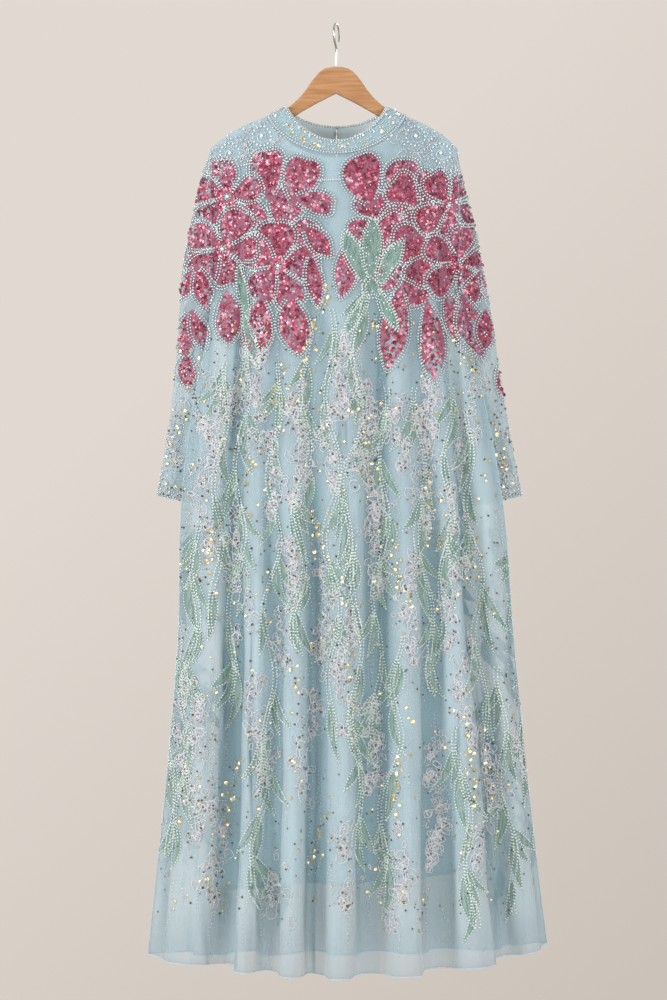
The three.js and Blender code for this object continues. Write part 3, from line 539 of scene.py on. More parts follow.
def stud_tree(name, make_shape, smooth):
    """One small shape on every point, turned to the point's facing and sized by its size."""
    tree, start = new_tree(name, Diameter=("Float", 0.0025), Seed=("Int", 3))
    facing = attribute(tree, "facing", "FLOAT_VECTOR")
    align = node(tree, "FunctionNodeAlignRotationToVector", {"Vector": facing}, axis="Z")
    # inputs 2 and 3 are the least and the most of a drawn number
    spin = node(tree, "FunctionNodeRandomValue", {3: 6.283, "Seed": start["Seed"]}, data_type="FLOAT")
    about = node(tree, "ShaderNodeCombineXYZ", {"Z": spin.outputs[1]})
    turn = node(
        tree,
        "FunctionNodeRotateRotation",
        {"Rotation": align.outputs["Rotation"], "Rotate By": about.outputs["Vector"]},
        rotation_space="LOCAL",
    )
    sizes = {0: start["Diameter"], 1: attribute(tree, "size", "FLOAT")}
    size = node(tree, "ShaderNodeMath", sizes, operation="MULTIPLY")
    place = node(
        tree,
        "GeometryNodeInstanceOnPoints",
        {
            "Points": start["Geometry"],
            "Instance": make_shape(tree),
            "Rotation": turn.outputs["Rotation"],
            "Scale": size.outputs["Value"],
        },
    )
    return finish_tree(tree, place.outputs["Instances"], start["Material"], smooth)


def stone(tree):
    return node(tree, "GeometryNodeMeshIcoSphere", {"Radius": 0.5, "Subdivisions": 1}).outputs["Mesh"]


def cut_bead(radius):
    """A small bead with eight faces."""
    sizes = {"Segments": 4, "Rings": 2, "Radius": radius}
    return lambda tree: node(tree, "GeometryNodeMeshUVSphere", sizes).outputs["Mesh"]


def sequin(sides, cup):
    """An open dish, as deep as its cup."""
    sizes = {"Vertices": sides, "Radius Top": 0.0, "Radius Bottom": 0.5, "Depth": cup}
    return lambda tree: node(tree, "GeometryNodeMeshCone", sizes, fill_type="NONE").outputs["Mesh"]


def cord_tree():
    """A round cord along every run of edges."""
    tree, start = new_tree("cord", Radius=("Float", 0.0005), Sides=("Int", 4))
    curve = node(tree, "GeometryNodeMeshToCurve", {"Mesh": start["Geometry"]})
    section = node(
        tree, "GeometryNodeCurvePrimitiveCircle", {"Radius": start["Radius"], "Resolution": start["Sides"]}
    )
    sweep = node(
        tree,
        "GeometryNodeCurveToMesh",
        {"Curve": curve.outputs["Curve"], "Profile Curve": section.outputs["Curve"]},
    )
    return finish_tree(tree, sweep.outputs["Mesh"], start["Material"], True)


STONES = stud_tree("stones", stone, True)
BEADS = stud_tree("beads", cut_bead(0.56), True)
SEEDS = stud_tree("seed_beads", cut_bead(0.5), True)
SEQUINS = stud_tree("sequins", sequin(6, 0.12), False)
PAILLETTES = stud_tree("paillettes", sequin(9, 0.08), False)
CORDS = cord_tree()


def grow(obj, tree, material, **values):
    """Runs a tree on an object, keeps the result as a plain mesh, and takes the modifier away."""
    modifier = obj.modifiers.new("grow", "NODES")
    modifier.node_group = tree
    names = {i.name: i.identifier for i in tree.interface.items_tree if i.in_out == "INPUT"}
    modifier[names["Material"]] = material
    for key, value in values.items():
        modifier[names[key]] = value
    graph = bpy.context.evaluated_depsgraph_get()
    mesh = bpy.data.meshes.new_from_object(obj.evaluated_get(graph), depsgraph=graph)
    obj.modifiers.clear()
    old, obj.data = obj.data, mesh
    mesh.name = obj.name
    bpy.data.meshes.remove(old)
    return obj


def studs(name, tree, material, diameter, points, facings, sizes):
    points = np.asarray(points, float).reshape(-1, 3)
    facings = np.asarray(facings, float).reshape(-1, 3)
    sizes = np.asarray(sizes, float)
    mesh = bpy.data.meshes.new(name)
    mesh.vertices.add(len(points))
    mesh.vertices.foreach_set("co", (points * MM).ravel())
    mesh.attributes.new("facing", "FLOAT_VECTOR", "POINT").data.foreach_set("vector", facings.ravel())
    mesh.attributes.new("size", "FLOAT", "POINT").data.foreach_set("value", sizes)
    return grow(add_to_scene(name, mesh), tree, material, Diameter=diameter * MM)


def cords(name, material, radius, runs, sides):
    points, edges = [], []
    for run in runs:
        start = len(points)
        points.extend(run)
        edges.extend((start + i, start + i + 1) for i in range(len(run) - 1))
    return grow(add_mesh(name, points, edges, []), CORDS, material, Radius=radius * MM, Sides=sides)


# ---------------------------------------------------------------- materials


def rgb(red, green, blue):
    """Linear values of a screen colour."""
    shares = (red / 255, green / 255, blue / 255)
    return tuple(c / 12.92 if c <= 0.04045 else ((c + 0.055) / 1.055) ** 2.4 for c in shares)


def shader(material):
    return material.node_tree.nodes["Principled BSDF"]


def principled(name, colour, roughness=0.5, metallic=0.0, **more):
    material = bpy.data.materials.new(name)
    material.use_nodes = True
    values = {"Base Color": (*colour, 1), "Roughness": roughness, "Metallic": metallic}
    values.update({key.replace("_", " "): value for key, value in more.items()})
    for key, value in values.items():
        shader(material).inputs[key].default_value = value
    return material


def noise_in(tree, scale, stretch=(1, 1, 1), detail=2.0):
    """Noise that lies in the object's own space."""
    place = node(tree, "ShaderNodeTexCoord")
    scaled = node(tree, "ShaderNodeMapping", {"Vector": place.outputs["Object"], "Scale": stretch})
    inputs = {"Vector": scaled.outputs["Vector"], "Scale": scale, "Detail": detail}
    return node(tree, "ShaderNodeTexNoise", inputs).outputs["Fac"]


def ramp_in(tree, value, start, end, low=0.0, high=1.0):
    """Turns a value from start to end into one from low to high."""
    inputs = {"Value": value, "From Min": start, "From Max": end, "To Min": low, "To Max": high}
    return node(tree, "ShaderNodeMapRange", inputs).outputs["Result"]


def mix_in(tree, share, first, second):
    """Mixes two colours, each a tuple or an output."""
    first, second = (c if isinstance(c, bpy.types.NodeSocket) else (*c, 1) for c in (first, second))
    inputs = {"Factor": share, "A": first, "B": second}
    return node(tree, "ShaderNodeMix", inputs, data_type="RGBA").outputs["Result"]


def vary(material, first, second, scale, stretch, socket="Base Color"):
    """Drives a socket with object-space noise between two values or two colours."""
    tree = material.node_tree
    noise = noise_in(tree, scale, stretch, 3.0)
    if socket == "Base Color":
        result = mix_in(tree, ramp_in(tree, noise, 0.35, 0.65), first, second)
    else:
        result = ramp_in(tree, noise, 0.35, 0.65, first, second)
    tree.links.new(result, shader(material).inputs[socket])


def grain(material, scale, strength, distance):
    """Fine relief in object space."""
    tree = material.node_tree
    inputs = {"Height": noise_in(tree, scale), "Strength": strength, "Distance": distance}
    bump = node(tree, "ShaderNodeBump", inputs)
    tree.links.new(bump.outputs["Normal"], shader(material).inputs["Normal"])


def paint_fold_shade(material, light, dark):
    """Painted shade: a darker base colour in the hollows of the folds."""
    tree = material.node_tree
    hollow = node(tree, "ShaderNodeAttribute", attribute_name="hollow").outputs["Fac"]
    colour = mix_in(tree, hollow, light, dark)
    tree.links.new(colour, shader(material).inputs["Base Color"])
    return colour


def net_look(material, light, dark, denser, foot, line):
    """Denser where the net stands on its side, tinted at the foot, with painted shade: darker in the hollows
    and thin dark lines at sharp bends.
    """
    tree, inputs = material.node_tree, shader(material).inputs
    colour = paint_fold_shade(material, light, dark)
    aside = node(tree, "ShaderNodeAttribute", attribute_name="aside").outputs["Fac"]
    open_net = inputs["Alpha"].links[0].from_socket
    dense = node(tree, "ShaderNodeMath", {0: aside, 1: denser, 2: open_net}, operation="MULTIPLY_ADD")
    tree.links.new(dense.outputs["Value"], inputs["Alpha"])
    place = node(tree, "ShaderNodeTexCoord")
    height = node(tree, "ShaderNodeSeparateXYZ", {"Vector": place.outputs["Object"]}).outputs["Z"]
    colour = mix_in(tree, ramp_in(tree, height, *NET_FOOT), colour, foot)
    # painted shade: thin dark lines where the net bends sharply
    colour = mix_in(tree, ramp_in(tree, aside, 0.22, 0.8, high=0.85), colour, line)
    tree.links.new(colour, inputs["Base Color"])


# Between these heights (m) the lining ends, and below them only the net hangs before the room.
NET_FOOT = (-1.44, -1.53)
net = principled("tulle_net", rgb(186, 210, 218), 0.8, Alpha=0.34, Sheen_Weight=0.3)
vary(net, 0.28, 0.4, 26, (1, 1, 0.12), "Alpha")
# lit colour, painted shade in the hollows, density on the side walls, tint at the foot, painted dark lines
# at sharp bends
net_look(net, rgb(194, 215, 223), rgb(136, 167, 177), 0.26, rgb(164, 188, 200), rgb(92, 120, 128))
slip = principled("slip_crepe", rgb(164, 192, 203), 0.5)
# painted shade: the slip is darker in the hollows of its folds
paint_fold_shade(slip, rgb(200, 221, 230), rgb(158, 186, 197))
grain(slip, 900, 0.12, 0.0004)
band_cloth = principled("band_cloth", rgb(150, 177, 186), 0.6)
grain(band_cloth, 1400, 0.4, 0.0006)
# painted light: a paler copy of the band cloth for the inside of the neck
band_inside_painted_light = principled("band_inside_painted_light", rgb(224, 240, 244), 0.7)
hem_cord = principled("hem_cord", rgb(176, 208, 222), 0.5)
pearl = principled("mint_bead", rgb(218, 231, 226), 0.2, Coat_Weight=0.5)
outline_bead = principled("silver_bead_row", rgb(206, 213, 216), 0.2, 0.3, Coat_Weight=0.5)
green_bead = principled("green_bead", rgb(150, 184, 168), 0.22, Coat_Weight=0.5)
silver = principled("silver_bead", rgb(214, 220, 218), 0.18, 0.4)
crystal = principled("crystal", rgb(235, 240, 240), 0.08, 0.35)
gold = principled("gold_paillette", rgb(222, 204, 156), 0.24, 0.75)
bronze = principled("bronze_paillette", rgb(96, 82, 66), 0.25, 0.7)
lace = principled("lace_cord", rgb(218, 217, 222), 0.6)
leaf_vein = principled("leaf_vein", rgb(172, 198, 188), 0.6)
leaf = principled("leaf_thread", rgb(112, 148, 134), 0.7, Alpha=0.9)
vary(leaf, rgb(106, 136, 131), rgb(148, 171, 164), 220, (1, 1, 0.25))
petal_base = principled("petal_thread", rgb(158, 92, 116), 0.6, Alpha=0.85)
PINKS = {
    "rose": principled("sequin_rose", rgb(166, 60, 88), 0.28, 0.3, Coat_Weight=0.5),
    "pink": principled("sequin_pink", rgb(190, 94, 120), 0.26, 0.25, Coat_Weight=0.5),
    "pale": principled("sequin_pale", rgb(216, 150, 168), 0.22, 0.25, Coat_Weight=0.6),
    "wine": principled("sequin_wine", rgb(126, 38, 62), 0.28, 0.35, Coat_Weight=0.5),
    "mauve": principled("sequin_mauve", rgb(166, 112, 138), 0.28, 0.35, Coat_Weight=0.5),
}
wood = principled("hanger_wood", rgb(180, 130, 86), 0.42, Coat_Weight=0.25)
vary(wood, rgb(168, 117, 74), rgb(192, 143, 98), 14, (1.2, 14, 14))
steel = principled("steel_wire", rgb(196, 194, 190), 0.22, 1.0)
white_plastic = principled("white_plastic", rgb(226, 226, 224), 0.35)

# ---------------------------------------------------------------- cloth pieces

ARM_STEPS = 27
HANDS = {-1: "left", 1: "right"}
BAND_COLUMNS = dict(front=91, back=73)
BAND_ROWS = 9
SLEEVE_RINGS = 62
RIPPLE = 2.0
CLOTH, SLIP_CLOTH, BAND = 0.5, 0.8, 2.0
place_at, turn_at, arm_z = armhole_heights(ARM_STEPS)


def panel(folds, sections, side, shoulder, per_fold, fine, rows, hem, swell, inset):
    columns = (len(folds) - 1) * per_fold
    column = np.linspace(0, columns, columns * fine + 1)
    heights = np.concatenate([arm_z, np.linspace(arm_z[-1], hem["middle"], rows + 1)[1:]])
    return panel_grid(sections, folds, side, shoulder, per_fold, column, heights, hem, swell, inset)


def lining(side):
    swell = ARMHOLE["lining_swell"]
    grid = panel(LINING_FOLDS, LINING_BODY, side, 5, 4, 4, 60, LINING_HEM, swell, LINING_INSET)
    return crease(grid, grid_normals(grid, False, side < 0), LINING_CREASES, -side)


def rippled(grid, side, creases, seed):
    normals = grid_normals(grid, False, side < 0)
    return waves(crease(grid, normals, creases), normals, RIPPLE, seed)


def slit_drop(grid):
    """Sets the edges of the centre-back slit straight, and marks the quads that it takes away."""
    top = grid[np.argmin(abs(grid[:, 0, 0])), 0, 2]
    middle = len(grid) // 2
    bottom = NECK["side_z"] - NECK["back_drop"] - SLIT["length"]
    drop = np.zeros(grid.shape[:2], bool)
    for j in range(grid.shape[1]):
        if grid[middle, j, 2] > bottom and top > bottom:
            for i, sign in ((middle - 1, -1), (middle + 1, 1)):
                grid[i, j, 0] = sign * SLIT["half"]
            drop[middle - 1, j] = drop[middle, j] = True
    return drop


def sleeve_grid(front, back, hand, rings):
    """Starts on the armhole edges of both panels, front edge down and back edge up."""
    column = 0 if hand < 0 else -1
    start = np.concatenate([front[column, : ARM_STEPS + 1], back[column, 1:ARM_STEPS][::-1]])
    places = np.concatenate([place_at, 2 * (len(ARMHOLE_TURNS) - 1) - place_at[1:-1][::-1]])
    first = np.concatenate([turn_at, 2 * np.pi - turn_at[1:-1][::-1]])
    even = places * np.pi / (len(ARMHOLE_TURNS) - 1)
    along = (np.arange(1, rings + 1) / rings) ** 1.15
    blend = smoothstep(along, 0, 0.4)[None, :]
    turn = lerp(first[:, None], even[:, None], blend)
    name = HANDS[hand]

    def get(key):
        return read(SLEEVE, SLEEVE_COLUMNS, key, along)[None, :]

    wave = np.cos(SLEEVE_FOLDS["count"] * turn + SLEEVE_FOLDS["turn"])
    grow_by = 1 + SLEEVE_FOLDS["height"] * along[None, :] * wave / get("half")
    reach = (np.cos(turn) + 1) / 2
    rest = np.stack(
        [
            hand * lerp(get("in_" + name), get("out_" + name), reach),
            get("y") - get("half") * np.sin(turn) * grow_by,
            lerp(get("in_z"), get("out_z"), reach),
        ],
        -1,
    )
    return np.concatenate([start[:, None, :], rest], 1)


def band_grid(rows):
    turns = neck_turns(-1, np.linspace(0, 1, BAND_COLUMNS["front"]))
    back = neck_turns(1, np.linspace(1, 0, BAND_COLUMNS["back"]))[1:-1]
    rings = [(NECK, BAND_TOP, turns, -1), (NECK, BAND_TOP, back, 1)]
    share = np.linspace(0, 1, rows)[None, :, None]
    parts = [lerp(ring_point(a, t, s)[:, None], ring_point(b, t, s)[:, None], share) for a, b, t, s in rings]
    return np.concatenate(parts)


front_grid = panel(TULLE_FRONT_FOLDS, TULLE_BODY, -1, 9, 4, 3, 92, TULLE_HEM, ARMHOLE["tulle_swell"], 0)
back_grid = panel(TULLE_BACK_FOLDS, TULLE_BODY, 1, 9, 3, 4, 84, TULLE_HEM, ARMHOLE["tulle_swell"], 0)
slip_front_grid, slip_back_grid = lining(-1), lining(1)
sleeve_grids, sleeve_normals = {}, {}
for hand in HANDS:
    grid = sleeve_grid(front_grid, back_grid, hand, SLEEVE_RINGS)
    sleeve_normals[hand] = grid_normals(grid, True, hand < 0)
    sleeve_grids[hand] = crease(grid, sleeve_normals[hand], SLEEVE_CREASES, hand)
front_grid = rippled(front_grid, -1, FRONT_CREASES, 4)
back_grid = rippled(back_grid, 1, BACK_CREASES, 5)

band = band_grid(BAND_ROWS)
band_middle = BAND_COLUMNS["front"] + BAND_COLUMNS["back"] // 2 - 1
band_drop = np.zeros(band.shape[:2], bool)
band_drop[band_middle - 1] = band_drop[band_middle] = True
band[band_middle - 1, :, 0] = SLIT["half"]
band[band_middle + 1, :, 0] = -SLIT["half"]
band_normals = grid_normals(band, True, False)

tulle_front = shell("tulle_front", front_grid, False, True, CLOTH, None, 6)
tulle_back = shell("tulle_back", back_grid, False, False, CLOTH, slit_drop(back_grid), 6)
sleeve_left, sleeve_right = (
    shell("tulle_sleeve_" + name, sleeve_grids[hand], True, hand < 0, CLOTH, None, 6)
    for hand, name in HANDS.items()
)
slip_front = shell("slip_front", slip_front_grid, False, True, SLIP_CLOTH, None, 5)
slip_back = shell("slip_back", slip_back_grid, False, False, SLIP_CLOTH, slit_drop(slip_back_grid), 5)
neck_band = shell("neck_band_cloth", band, True, False, BAND, band_drop)

# Each cloth piece: its solid, slot, material, flat size (m), what it rests on and its outline's area (m2).
SEWN = (
    (tulle_front, "front_panel", "tulle", net, (1.08, 1.41), "hanger_body", 0.95),
    (tulle_back, "back_panel", "tulle", net, (0.92, 1.41), "hanger_body", 0.89),
    (sleeve_left, "sleeve_left", "tulle", net, (0.47, 0.59), "tulle_front", 0.092),
    (sleeve_right, "sleeve_right", "tulle", net, (0.47, 0.59), "tulle_front", 0.088),
    (slip_front, "lining_front", "lining", slip, (0.52, 1.27), "hanger_body", 0.5),
    (slip_back, "lining_back", "lining", slip, (0.52, 1.27), "hanger_body", 0.52),
    (neck_band, "neck_band", "band", band_cloth, (0.6, 0.037), "tulle_front", 0.018),
)
for piece, _, _, material, *_ in SEWN:
    piece.data.materials.append(material)
# the inner faces of the band get the paler copy: painted light inside the neck
neck_band.data.materials.append(band_inside_painted_light)
for face in neck_band.data.polygons:
    face.material_index = int(face.normal.x * face.center.x + face.normal.y * face.center.y < 0)

# ---------------------------------------------------------------- the eye that lays out the embroidery

FRONT, BACK, LEFT, RIGHT = -1, 1, -2, 2
EYE_AWAY, EYE_X, EYE_Z = 4100.0, -5.0, -784.0
EYE = {
    FRONT: np.array([EYE_X, -EYE_AWAY, EYE_Z]),
    BACK: np.array([EYE_X, EYE_AWAY, EYE_Z]),
    LEFT: np.array([-EYE_AWAY, 0.0, EYE_Z]),
    RIGHT: np.array([EYE_AWAY, 0.0, EYE_Z]),
}
LOOK_EVERY = 1.3
# A step longer than this leaps from one fold to the next.
FOLD_JUMP = 9


class Cloth:
    """Finds the outer face of the cloth behind a point of the layout, seen from one side."""

    def __init__(self, side):
        self.side = side
        parts = [(front_grid, False, True)] if side != BACK else []
        parts += [(back_grid, False, False)] if side != FRONT else []
        parts += [(sleeve_grids[hand], True, hand < 0) for hand in HANDS]
        points, faces = [], []
        for grid, closed, flip in parts:
            start = len(points)
            points.extend(map(tuple, grid.reshape(-1, 3)))
            faces.extend(tuple(start + v for v in q) for q in quads_of(grid.shape, closed, flip))
        self.tree = BVHTree.FromPolygons(points, faces)

    def hit(self, x, z):
        """The place on the cloth behind a point of the layout, and its facing towards the eye."""
        eye = EYE[self.side]
        way = np.array([x, 0.0, z] if self.side in (FRONT, BACK) else [0.0, x, z]) - eye
        place, normal, _, _ = self.tree.ray_cast(Vector(eye), Vector(way).normalized())
        if place is None:
            return None
        place, normal = np.array(place), np.array(normal)
        if normal @ way > 0:
            normal = -normal
        return place, normal

    def run(self, xs, zs, step):
        """Points at even distances along a line of the layout, broken where the cloth turns out of sight."""
        lengths = np.concatenate([[0], np.cumsum(np.hypot(np.diff(xs), np.diff(zs)))])
        count = max(int(lengths[-1] / LOOK_EVERY), 2)
        at = np.linspace(0, lengths[-1], count)
        found, last, carried = [[]], None, 0.0
        for x, z in zip(np.interp(at, lengths, xs), np.interp(at, lengths, zs)):
            hit = self.hit(x, z)
            if hit is None or (last is not None and np.linalg.norm(hit[0] - last[0]) > FOLD_JUMP):
                last, carried = hit, 0.0
                found.append([])
                if hit is not None:
                    found[-1].append(hit)
                continue
            if last is None:
                found[-1].append(hit)
                last = hit
                continue
            gap = np.linalg.norm(hit[0] - last[0])
            while gap > 1e-6 and carried + gap >= step:
                share = (step - carried) / gap
                place = lerp(last[0], hit[0], share)
                found[-1].append((place, hit[1]))
                last = (place, hit[1])
                gap = np.linalg.norm(hit[0] - last[0])
                carried = 0.0
            carried += gap
            last = hit
        return [f for f in found if f]


CLOTHS = {side: Cloth(side) for side in EYE}
stud_store, cord_store = {}, {}


def put(kind, places, lift, size=1.0, tilt=0.0):
    """Keeps small parts for one kind, lifted off the cloth."""
    for place, normal in places:
        facing = normal + random.normal(0, tilt, 3) if tilt else normal
        sized = size * random.uniform(0.9, 1.1)
        stud_store.setdefault(kind, []).append((place + normal * lift, facing, sized))


def put_over(cloth, x, z, kind, lift, size, tilt=0.0):
    """One small part over a point of the layout; a pair of sizes is drawn between."""
    hit = cloth.hit(x, z)
    if hit is not None:
        put(kind, [hit], lift, random.uniform(*size) if isinstance(size, tuple) else size, tilt)


def put_cord(kind, places, lift):
    if len(places) > 2:
        cord_store.setdefault(kind, []).append([p + n * lift for p, n in places])


def add_quad(points, faces, corners, lift, widest):
    """A quad over the cloth between four hits, unless it would bridge a fold."""
    if any(c is None for c in corners):
        return
    places = [c[0] for c in corners]
    if max(np.linalg.norm(p - q) for p in places for q in places) > widest:
        return
    start = len(points)
    points.extend(c[0] + c[1] * lift for c in corners)
    quad = (start, start + 1, start + 2, start + 3)
    normal = np.cross(places[2] - places[0], places[3] - places[1])
    faces.append(quad if normal @ corners[0][1] > 0 else quad[::-1])


# ---------------------------------------------------------------- flowers

# Across, down, petal length, petals (a hanging fan up to four), first turn (0 is down), and breadth.
FLOWERS = {
    FRONT: [
        (-100, -342, 72, 5, 20, 1.0),
        (-110, -292, 88, 1, 184, 1.4),
        (-72, -298, 96, 1, 173, 1.35),
        (-74, -286, 72, 1, 74, 1.2),
        (-96, -398, 76, 5, 30, 1.0),
        (-56, -330, 62, 1, 40, 1.2),
        (-44, -374, 86, 1, 2, 0.8),
        (-124, -448, 88, 1, -2, 1.2),
        (-74, -444, 92, 1, 4, 1.2),
        (-180, -284, 66, 5, 176, 0.9),
        (-216, -326, 68, 2, 4, 1.0),
        (-188, -370, 68, 5, 20, 0.9),
        (-228, -396, 70, 2, 0, 1.1),
        (-182, -436, 78, 1, 2, 1.1),
        (-238, -468, 66, 2, 4, 0.95),
        (-246, -540, 60, 1, 4, 1.2),
        (88, -330, 68, 5, 0, 1.0),
        (58, -300, 88, 1, 194, 1.45),
        (100, -296, 88, 1, 168, 1.45),
        (138, -306, 66, 5, 150, 1.0),
        (34, -346, 92, 1, -24, 0.85),
        (116, -388, 78, 5, 10, 1.0),
        (164, -372, 68, 5, 40, 1.0),
        (106, -430, 124, 1, -2, 0.85),
        (148, -452, 138, 1, 6, 0.75),
        (180, -436, 104, 1, 4, 0.85),
        (186, -298, 60, 5, 150, 0.9),
        (214, -336, 66, 2, -4, 1.1),
        (202, -392, 66, 5, 30, 0.9),
        (236, -404, 70, 2, 4, 1.0),
        (210, -446, 88, 1, -2, 1.1),
        (246, -468, 66, 1, 0, 1.2),
        (270, -548, 56, 1, 4, 0.9),
    ],
    BACK: [
        (-112, -292, 84, 5, 176, 1.0),
        (-50, -330, 86, 5, 20, 1.0),
        (-110, -402, 80, 6, 8, 1.0),
        (-62, -430, 104, 1, 4, 1.0),
        (-120, -446, 100, 1, -4, 1.1),
        (-180, -298, 66, 5, 30, 0.9),
        (-212, -352, 66, 2, 0, 1.1),
        (-186, -394, 68, 5, 50, 0.9),
        (-228, -424, 70, 2, -4, 1.0),
        (-240, -500, 60, 1, 0, 1.2),
        (58, -322, 86, 5, 190, 1.0),
        (122, -296, 82, 5, 160, 1.0),
        (106, -394, 82, 6, 18, 1.0),
        (160, -374, 68, 5, 0, 1.0),
        (84, -444, 106, 1, 6, 1.0),
        (134, -452, 120, 1, -2, 0.9),
        (190, -304, 62, 5, 14, 0.9),
        (212, -364, 66, 5, 38, 0.9),
        (194, -426, 88, 1, 0, 1.0),
        (236, -436, 68, 2, 0, 1.0),
        (246, -506, 58, 1, 0, 1.2),
    ],
}
# The green cups under the flowers, as petals: across, down, length, width, turn, bend and notch.
CALYX = {
    FRONT: [
        (48, -430, 84, 34, 196, 0.1, -0.14),
        (66, -436, 80, 30, 158, -0.1, -0.14),
        (56, -424, 92, 36, 178, 0.0, -0.16),
        (66, -430, 70, 20, 20, 0.1, -0.16),
        (54, -434, 78, 20, -22, -0.1, -0.16),
        (58, -414, 34, 30, 0, 0.0, 0.0),
        (-146, -500, 92, 20, 184, 0.1, -0.16),
        (-154, -470, 86, 18, 10, 0.1, -0.16),
    ],
    BACK: [
        (2, -440, 84, 34, 196, 0.1, -0.14),
        (16, -444, 80, 30, 160, -0.1, -0.14),
        (8, -434, 90, 36, 178, 0.0, -0.16),
        (12, -436, 72, 20, 12, 0.1, -0.16),
        (8, -418, 34, 30, 0, 0.0, 0.0),
        (-158, -500, 88, 20, 182, 0.1, -0.16),
    ],
}
PETAL_STEPS = 46
BLOOM_FROM = 5
LARGE_BLOOM = 76
FAN_TURN = 34
BLOOM = dict(away=5, wide=0.88)
FAN = dict(away=0, wide=0.52)
POINTED = -0.16


def petal_outline(x, z, length, width, turn, bend, notch):
    t = np.linspace(0, 2 * np.pi, PETAL_STEPS, endpoint=False)
    share = (1 - np.cos(t)) / 2
    down = length * (share - notch * np.exp(-((np.sin(t) * 2.4) ** 2)) * (share > 0.5))
    across = width / 2 * np.sin(t) * share**0.4 * 1.2 + bend * length * share**2
    a = math.radians(turn)
    cos, sin = math.cos(a), math.sin(a)
    return np.stack([x + across * cos + down * sin, z - down * cos + across * sin], -1)


def flower_petals(x, z, size, petals, turn, spread):
    """Petals around a centre, the outer ones first and smaller ones over them, or a hanging fan."""
    made = []
    bloom = petals >= BLOOM_FROM
    form = BLOOM if bloom else FAN
    step = 360 / petals if bloom else FAN_TURN
    first = turn if bloom else turn - step * (petals - 1) / 2
    for i in range(petals):
        length = size * random.uniform(0.88, 1.1)
        wide = form["wide"] * random.uniform(0.92, 1.08)
        a = math.radians(first + step * i)
        made.append(
            (
                x + form["away"] * math.sin(a),
                z - form["away"] * math.cos(a),
                length,
                length * wide * spread,
                first + step * i + random.uniform(-10, 10),
                random.uniform(-0.22, 0.22),
                random.uniform(0.02, 0.12) if bloom or abs(turn) > 60 else POINTED,
            )
        )
    for i in range(2 if bloom and size > LARGE_BLOOM else 0):
        length = size * random.uniform(0.5, 0.6)
        angle = turn + 28 + 180 * i + random.uniform(-30, 30)
        made.append((x, z - 4, length, length * 0.86 * spread, angle, random.uniform(-0.15, 0.15), 0.05))
    return made


def inside(polygon, points):
    x, z = points[:, 0], points[:, 1]
    result = np.zeros(len(points), bool)
    x1, z1 = polygon[:, 0], polygon[:, 1]
    x2, z2 = np.roll(x1, -1), np.roll(z1, -1)
    for a, b, c, d in zip(x1, z1, x2, z2):
        crosses = (b > z) != (d > z)
        result ^= crosses & (x < (c - a) * (z - b) / (d - b + 1e-12) + a)
    return result


def edge_distance(polygon, points):
    return np.min(np.linalg.norm(points[:, None, :] - polygon[None, :, :], axis=2), axis=1)


def shrink(polygon, by):
    middle = polygon.mean(0)
    away = polygon - middle
    size = np.linalg.norm(away, axis=1, keepdims=True)
    return middle + away * np.maximum(size - by, 1) / size


TONES = [
    ("rose", "pink", "rose", "wine", "pale", "rose"),
    ("pink", "pale", "pink", "rose", "mauve", "wine"),
    ("mauve", "pink", "rose", "wine", "pale", "mauve"),
    ("rose", "pink", "rose", "wine", "rose", "mauve"),
    ("wine", "rose", "rose", "mauve", "pink", "wine"),
]
SEQUIN = dict(diameter=7.4, pitch=5.2, nearest=0.82, tries=2.6, edge=5.4, clear=5.2, lift=1.0, tilt=0.38)
CUP_BEAD = dict(tries=900, edge=4.5, nearest=3.6, lift=2.0)
CRYSTAL_LIFT = 2.0
PATCH_INSET = 1.5
OUTLINE = dict(diameter=4.3, pitch=5.0, lift=1.5, apart=2.5)
# Buttons of small blooms, and rosettes of the shoulders: radius of a ring, number, kind and size.
BUTTON = (
    (0, 1, "crystal", 2.2),
    (5, 8, "outline", 0.9),
    (10, 10, "sequin_pink", 1.1),
    (14.5, 12, "sequin_rose", 1.0),
)
ROSETTE = ((0, 1, "crystal", 2.2), (16, 15, "crystal", 1.2), (27, 30, "outline", 0.9))
ROSETTE_LIFT = 1.6
ROSETTES = ((-123, -184), (-176, -212), (130, -184), (172, -212))
petal_patches = {FRONT: [], BACK: []}
leaf_patches = {FRONT: [], BACK: []}


def strewn(outline, count, covers, edge):
    """Random points inside an outline, clear of its edge and of what covers it."""
    low, high = outline.min(0), outline.max(0)
    points = low + random.random((count, 2)) * (high - low)
    points = points[inside(outline, points)]
    for cover in covers:
        points = points[~inside(cover, points)]
    return points[edge_distance(outline, points) > edge] if len(points) else points


def leaf_fill(cloth, outline, covers):
    """Green thread under a cup's petal, and small beads on it."""
    leaf_patches[cloth.side].append(shrink(outline, PATCH_INSET))
    taken = []
    for x, z in strewn(outline, CUP_BEAD["tries"], covers, CUP_BEAD["edge"]):
        if taken and min(math.hypot(x - a, z - b) for a, b in taken) < CUP_BEAD["nearest"]:
            continue
        hit = cloth.hit(x, z)
        if hit is not None:
            taken.append((x, z))
            kind = "green" if random.random() < 0.8 else "pearl"
            put(kind, [hit], CUP_BEAD["lift"], random.uniform(0.8, 1.1))


def sequin_fill(cloth, outline, covers, tones):
    """Sequins over a petal in the tones of its row, with a few crystals among them."""
    low, high = outline.min(0), outline.max(0)
    count = int((high - low).prod() / SEQUIN["pitch"] ** 2 * SEQUIN["tries"])
    apart = SEQUIN["pitch"] * SEQUIN["nearest"]
    points = strewn(outline, count, covers, SEQUIN["edge"])
    taken = []
    for x, z in points:
        hit = cloth.hit(x, z)
        if hit is None:
            continue
        if taken and np.min(np.sum((np.array(taken) - hit[0]) ** 2, 1)) < apart**2:
            continue
        taken.append(hit[0])
        tone = tones[random.integers(len(tones))]
        put("sequin_" + tone, [hit], SEQUIN["lift"] + random.uniform(0, 0.6), 1.0, SEQUIN["tilt"])
    for k in random.integers(0, max(len(taken), 1), 4):
        if taken:
            put_over(cloth, *points[k % len(points)], "crystal", CRYSTAL_LIFT, (0.7, 1.1))


